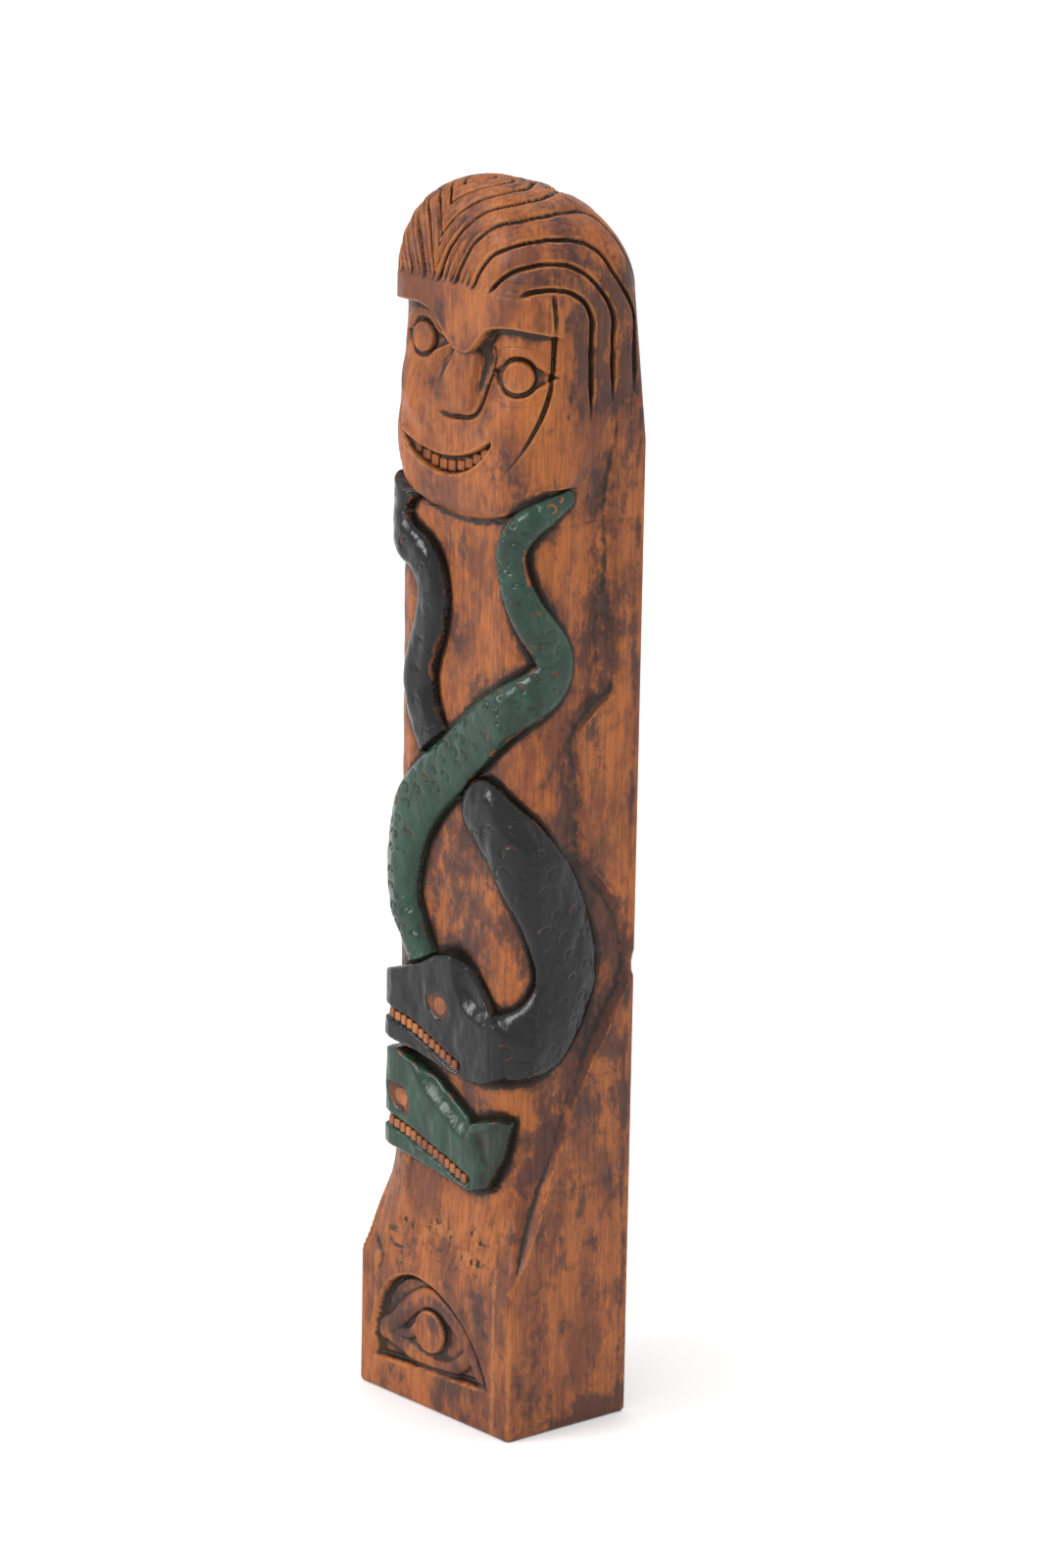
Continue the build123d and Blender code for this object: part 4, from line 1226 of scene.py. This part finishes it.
# %% The two shared groups
def figure_group():
    """The figure of the wood: fine grain, broad blotches, dark stained patches, flecks."""
    group = bpy.data.node_groups.new("wood_figure", "ShaderNodeTree")
    outs = ("Grain", "Blotch", "Stain", "Fleck", "Fine", "Broad")
    for label in outs:
        group.interface.new_socket(label, in_out="OUTPUT", socket_type="NodeSocketFloat")
    t = Nodes(group)
    end = t.n.new("NodeGroupOutput")
    place = t.n.new("ShaderNodeTexCoord").outputs["Object"]
    values = {
        "Grain": t.noise(t.stretch(place, (760, 760, 52)), 1.0, 6, 0.7),
        "Blotch": t.ramp(t.noise(t.stretch(place, (52, 52, 26)), 1.0, 8, 0.72), 0.42, 0.60),
        "Stain": t.noise(t.stretch(place, (78, 78, 50)), 1.0, 9, 0.74),
        "Fleck": t.noise(t.stretch(place, (420, 420, 300)), 1.0, 4, 0.6),
        "Fine": t.noise(t.stretch(place, (2600, 2600, 150)), 1.0, 3, 0.6),
        "Broad": t.noise(t.stretch(place, (130, 130, 70)), 1.0, 5, 0.6),
    }
    for label in outs:
        t.link(values[label], end.inputs[label])
    return group


def shade_and_wear_group():
    """Painted shade and dirt in the recesses and pale worn edges, all broken up by the figure."""
    group = bpy.data.node_groups.new("shade_dirt_and_wear", "ShaderNodeTree")
    for label in ("Fleck", "Broad"):
        group.interface.new_socket(label, in_out="INPUT", socket_type="NodeSocketFloat")
    for label in ("Dirt", "Wear", "Bare", "Chips"):
        group.interface.new_socket(label, in_out="OUTPUT", socket_type="NodeSocketFloat")
    t = Nodes(group)
    start, end = t.n.new("NodeGroupInput"), t.n.new("NodeGroupOutput")
    fleck, broad = start.outputs["Fleck"], start.outputs["Broad"]
    uneven = t.ramp(broad, 0.3, 0.7, -0.16, 0.16)
    # The first output darkens the recesses: painted shade, with dirt.
    dip = t.math("ADD", t.layer("recess"), uneven)
    shade_and_grit = t.math("ADD", dip, t.ramp(fleck, 0.35, 0.65, -0.22, 0.22))
    t.link(t.ramp(shade_and_grit, 0.22, 0.95), end.inputs["Dirt"])
    worn = t.math("ADD", t.layer("edge"), t.ramp(broad, 0.35, 0.65, -0.55, 0.1))
    rub = t.math("ADD", worn, t.ramp(fleck, 0.3, 0.7, -0.4, 0.3))
    t.link(t.ramp(rub, 0.2, 0.9), end.inputs["Wear"])
    t.link(t.ramp(t.math("ADD", t.layer("bare"), t.ramp(fleck, 0.3, 0.7, -0.25, 0.1)), 0.25, 0.6),
           end.inputs["Bare"])
    chip = t.math("MULTIPLY", t.ramp(broad, 0.52, 0.64), t.ramp(rub, 0.55, 0.9))
    t.link(t.math("ADD", chip, t.ramp(fleck, 0.735, 0.76), True), end.inputs["Chips"])
    return group


FIGURE, SHADE_AND_WEAR = figure_group(), shade_and_wear_group()
PALE, ORANGE, BROWN = (0.38, 0.135, 0.032, 1), (0.300, 0.086, 0.017, 1), (0.135, 0.036, 0.013, 1)
# The second colour here darkens the cuts: painted shade, with dirt.
PURPLE, SHADE_AND_SOOT = (0.040, 0.014, 0.012, 1), (0.011, 0.006, 0.004, 1)
print("groups", FIGURE.name, SHADE_AND_WEAR.name)

# %% [markdown]
# The stained wood is orange where the stain is thin, brown in blotches and nearly purple where
# it pooled and where shade is painted in.  The cuts are darkened nearly to soot black, which is
# painted shade together with dirt, and the high edges are rubbed pale.  The surface is fairly
# smooth but only faintly shiny, with a fine grain that a low bump can carry.

# %% The stained wood
def start_material(name):
    material = bpy.data.materials.new(name)
    material.use_nodes = True
    t = Nodes(material.node_tree)
    shader = t.n["Principled BSDF"]
    figure = t.n.new("ShaderNodeGroup")
    figure.node_tree = FIGURE
    wear_and_shade = t.n.new("ShaderNodeGroup")
    wear_and_shade.node_tree = SHADE_AND_WEAR
    t.link(figure.outputs["Fleck"], wear_and_shade.inputs["Fleck"])
    t.link(figure.outputs["Broad"], wear_and_shade.inputs["Broad"])
    return material, t, shader, figure.outputs, wear_and_shade.outputs


def wood_colour(t, figure):
    """Stained wood, with painted shade in its pooled stain, before dirt, painted shade in the cuts and pale
    edges.
    """
    colour = t.blend(ORANGE, BROWN, figure["Blotch"])
    pooled_stain_and_shade = t.math("ADD", figure["Stain"], t.math("MULTIPLY", t.layer("stain"), 0.13))
    # Purple where the stain pooled and where shade is painted in.
    colour = t.blend(colour, PURPLE, t.math("MULTIPLY", t.ramp(pooled_stain_and_shade, 0.52, 0.66), 0.85))
    grain = t.ramp(figure["Grain"], 0.30, 0.70, 0.70, 1.22)
    shade = t.n.new("ShaderNodeCombineColor")
    for i in range(3):
        t.link(grain, shade.inputs[i])
    return t.blend(colour, shade.outputs[0], 1.0, "MULTIPLY")


def bump(t, shader, height, strength, distance):
    node = t.n.new("ShaderNodeBump")
    node.inputs["Strength"].default_value = strength
    node.inputs["Distance"].default_value = distance
    t.link(height, node.inputs["Height"])
    t.link(node.outputs[0], shader.inputs["Normal"])


def stained_wood():
    """Orange and brown wood with painted shade and dirt in its cuts, and pale worn edges."""
    material, t, shader, figure, wear_and_shade = start_material("stained_wood")
    colour = wood_colour(t, figure)
    colour = t.blend(colour, PALE, t.math("MULTIPLY", wear_and_shade["Wear"], 0.62))
    # Darkened in the cuts: painted shade, with dirt.
    colour = t.blend(colour, SHADE_AND_SOOT, t.math("MULTIPLY", wear_and_shade["Dirt"], 0.93))
    t.link(colour, shader.inputs["Base Color"])
    t.link(t.ramp(figure["Fleck"], 0.3, 0.7, 0.36, 0.56), shader.inputs["Roughness"])
    shader.inputs["Specular IOR Level"].default_value = 0.32
    bump(t, shader, t.math("ADD", figure["Fine"], t.math("MULTIPLY", figure["Fleck"], 1.6)), 0.45, 0.00012)
    return material


print("stained wood is ready")

# %% [markdown]
# The paint is thick and brushed on.  It is glossy and slightly lumpy, so it breaks one lamp
# into many small glints.  Where a cut or a high edge has lost it, the same stained wood shows.
# The eyes and the snakes' teeth were never painted, and are plain pale wood.

# %% Paint and bare wood
def paint(name, colour, deep, roughness):
    material, t, shader, figure, wear_and_shade = start_material(name)
    film = t.blend(colour, deep, t.ramp(figure["Broad"], 0.35, 0.65))
    off = t.math("MAXIMUM", wear_and_shade["Bare"], t.math("MULTIPLY", wear_and_shade["Chips"], 0.8))
    surface = t.blend(film, wood_colour(t, figure), off)
    # Darkened in the cuts: painted shade, with dirt.
    surface = t.blend(surface, SHADE_AND_SOOT, t.math("MULTIPLY", wear_and_shade["Dirt"], 0.75))
    t.link(surface, shader.inputs["Base Color"])
    shader.inputs["Specular IOR Level"].default_value = 0.33
    t.link(t.math("ADD", t.ramp(figure["Fleck"], 0.3, 0.7, roughness, roughness + 0.12),
                  t.math("MULTIPLY", off, 0.3)), shader.inputs["Roughness"])
    bump(t, shader, t.math("ADD", figure["Broad"], t.math("MULTIPLY", figure["Fleck"], 0.30)), 0.6, 0.0009)
    return material


def bare_wood():
    material, t, shader, figure, wear_and_shade = start_material("bare_wood")
    colour = t.blend((0.34, 0.115, 0.035, 1), (0.16, 0.05, 0.02, 1), figure["Blotch"])
    # Darkened in the cuts: painted shade, with dirt.
    colour = t.blend(colour, SHADE_AND_SOOT, t.math("MULTIPLY", wear_and_shade["Dirt"], 0.6))
    t.link(colour, shader.inputs["Base Color"])
    shader.inputs["Roughness"].default_value = 0.5
    shader.inputs["Specular IOR Level"].default_value = 0.32
    bump(t, shader, figure["Fine"], 0.4, 0.0001)
    return material


materials = {
    "stained_wood": stained_wood(),
    "black_paint": paint("black_paint", (0.0045, 0.0047, 0.0050, 1), (0.003, 0.003, 0.0032, 1), 0.13),
    "green_paint": paint("green_paint", (0.017, 0.050, 0.031, 1), (0.009, 0.026, 0.017, 1), 0.15),
    "bare_wood": bare_wood(),
}
print("materials", list(materials))

# %% The three rows of teeth
BITE, MOUTH_BITE = 1.3, 3.9                 # the teeth's middle, under the block's front, mm
for name, band, stop, node in (("black_teeth", BLACK_BAND, (-24.0, 7.5), "black_snake_teeth"),
                               ("green_teeth", GREEN_BAND, (-23.5, 13.0), "green_snake_teeth")):
    across = np.linspace(*stop, 9)
    line_x, line_z = np.array(band).T
    line = list(zip(across, np.interp(across, line_x, line_z)))
    teeth_row(name, line, BITE, (2.4, 3.1, 1.5, 2.8), "bare_wood", node)

across = np.linspace(MOUTH_MIDDLE - 15.5, MOUTH_MIDDLE + 16.5, 15)
bow = 1 - ((across - MOUTH_MIDDLE) / MOUTH_HALF) ** 2
line = list(zip(across, MOUTH_UP + MOUTH_TILT * (across - MOUTH_MIDDLE) + 0.7 - 9.6 * bow ** 0.85))
teeth_row("mouth_teeth_bare", line, MOUTH_BITE, (3.4, 3.4, 1.8, 4.0), "stained_wood", "mouth_teeth")

# %% Put the materials on
for name, finish in finish_of.items():
    pieces[name].data.materials.append(materials[finish])
print("pieces", len(pieces), "triangles", sum(len(p.data.polygons) for p in pieces.values()) * 2)
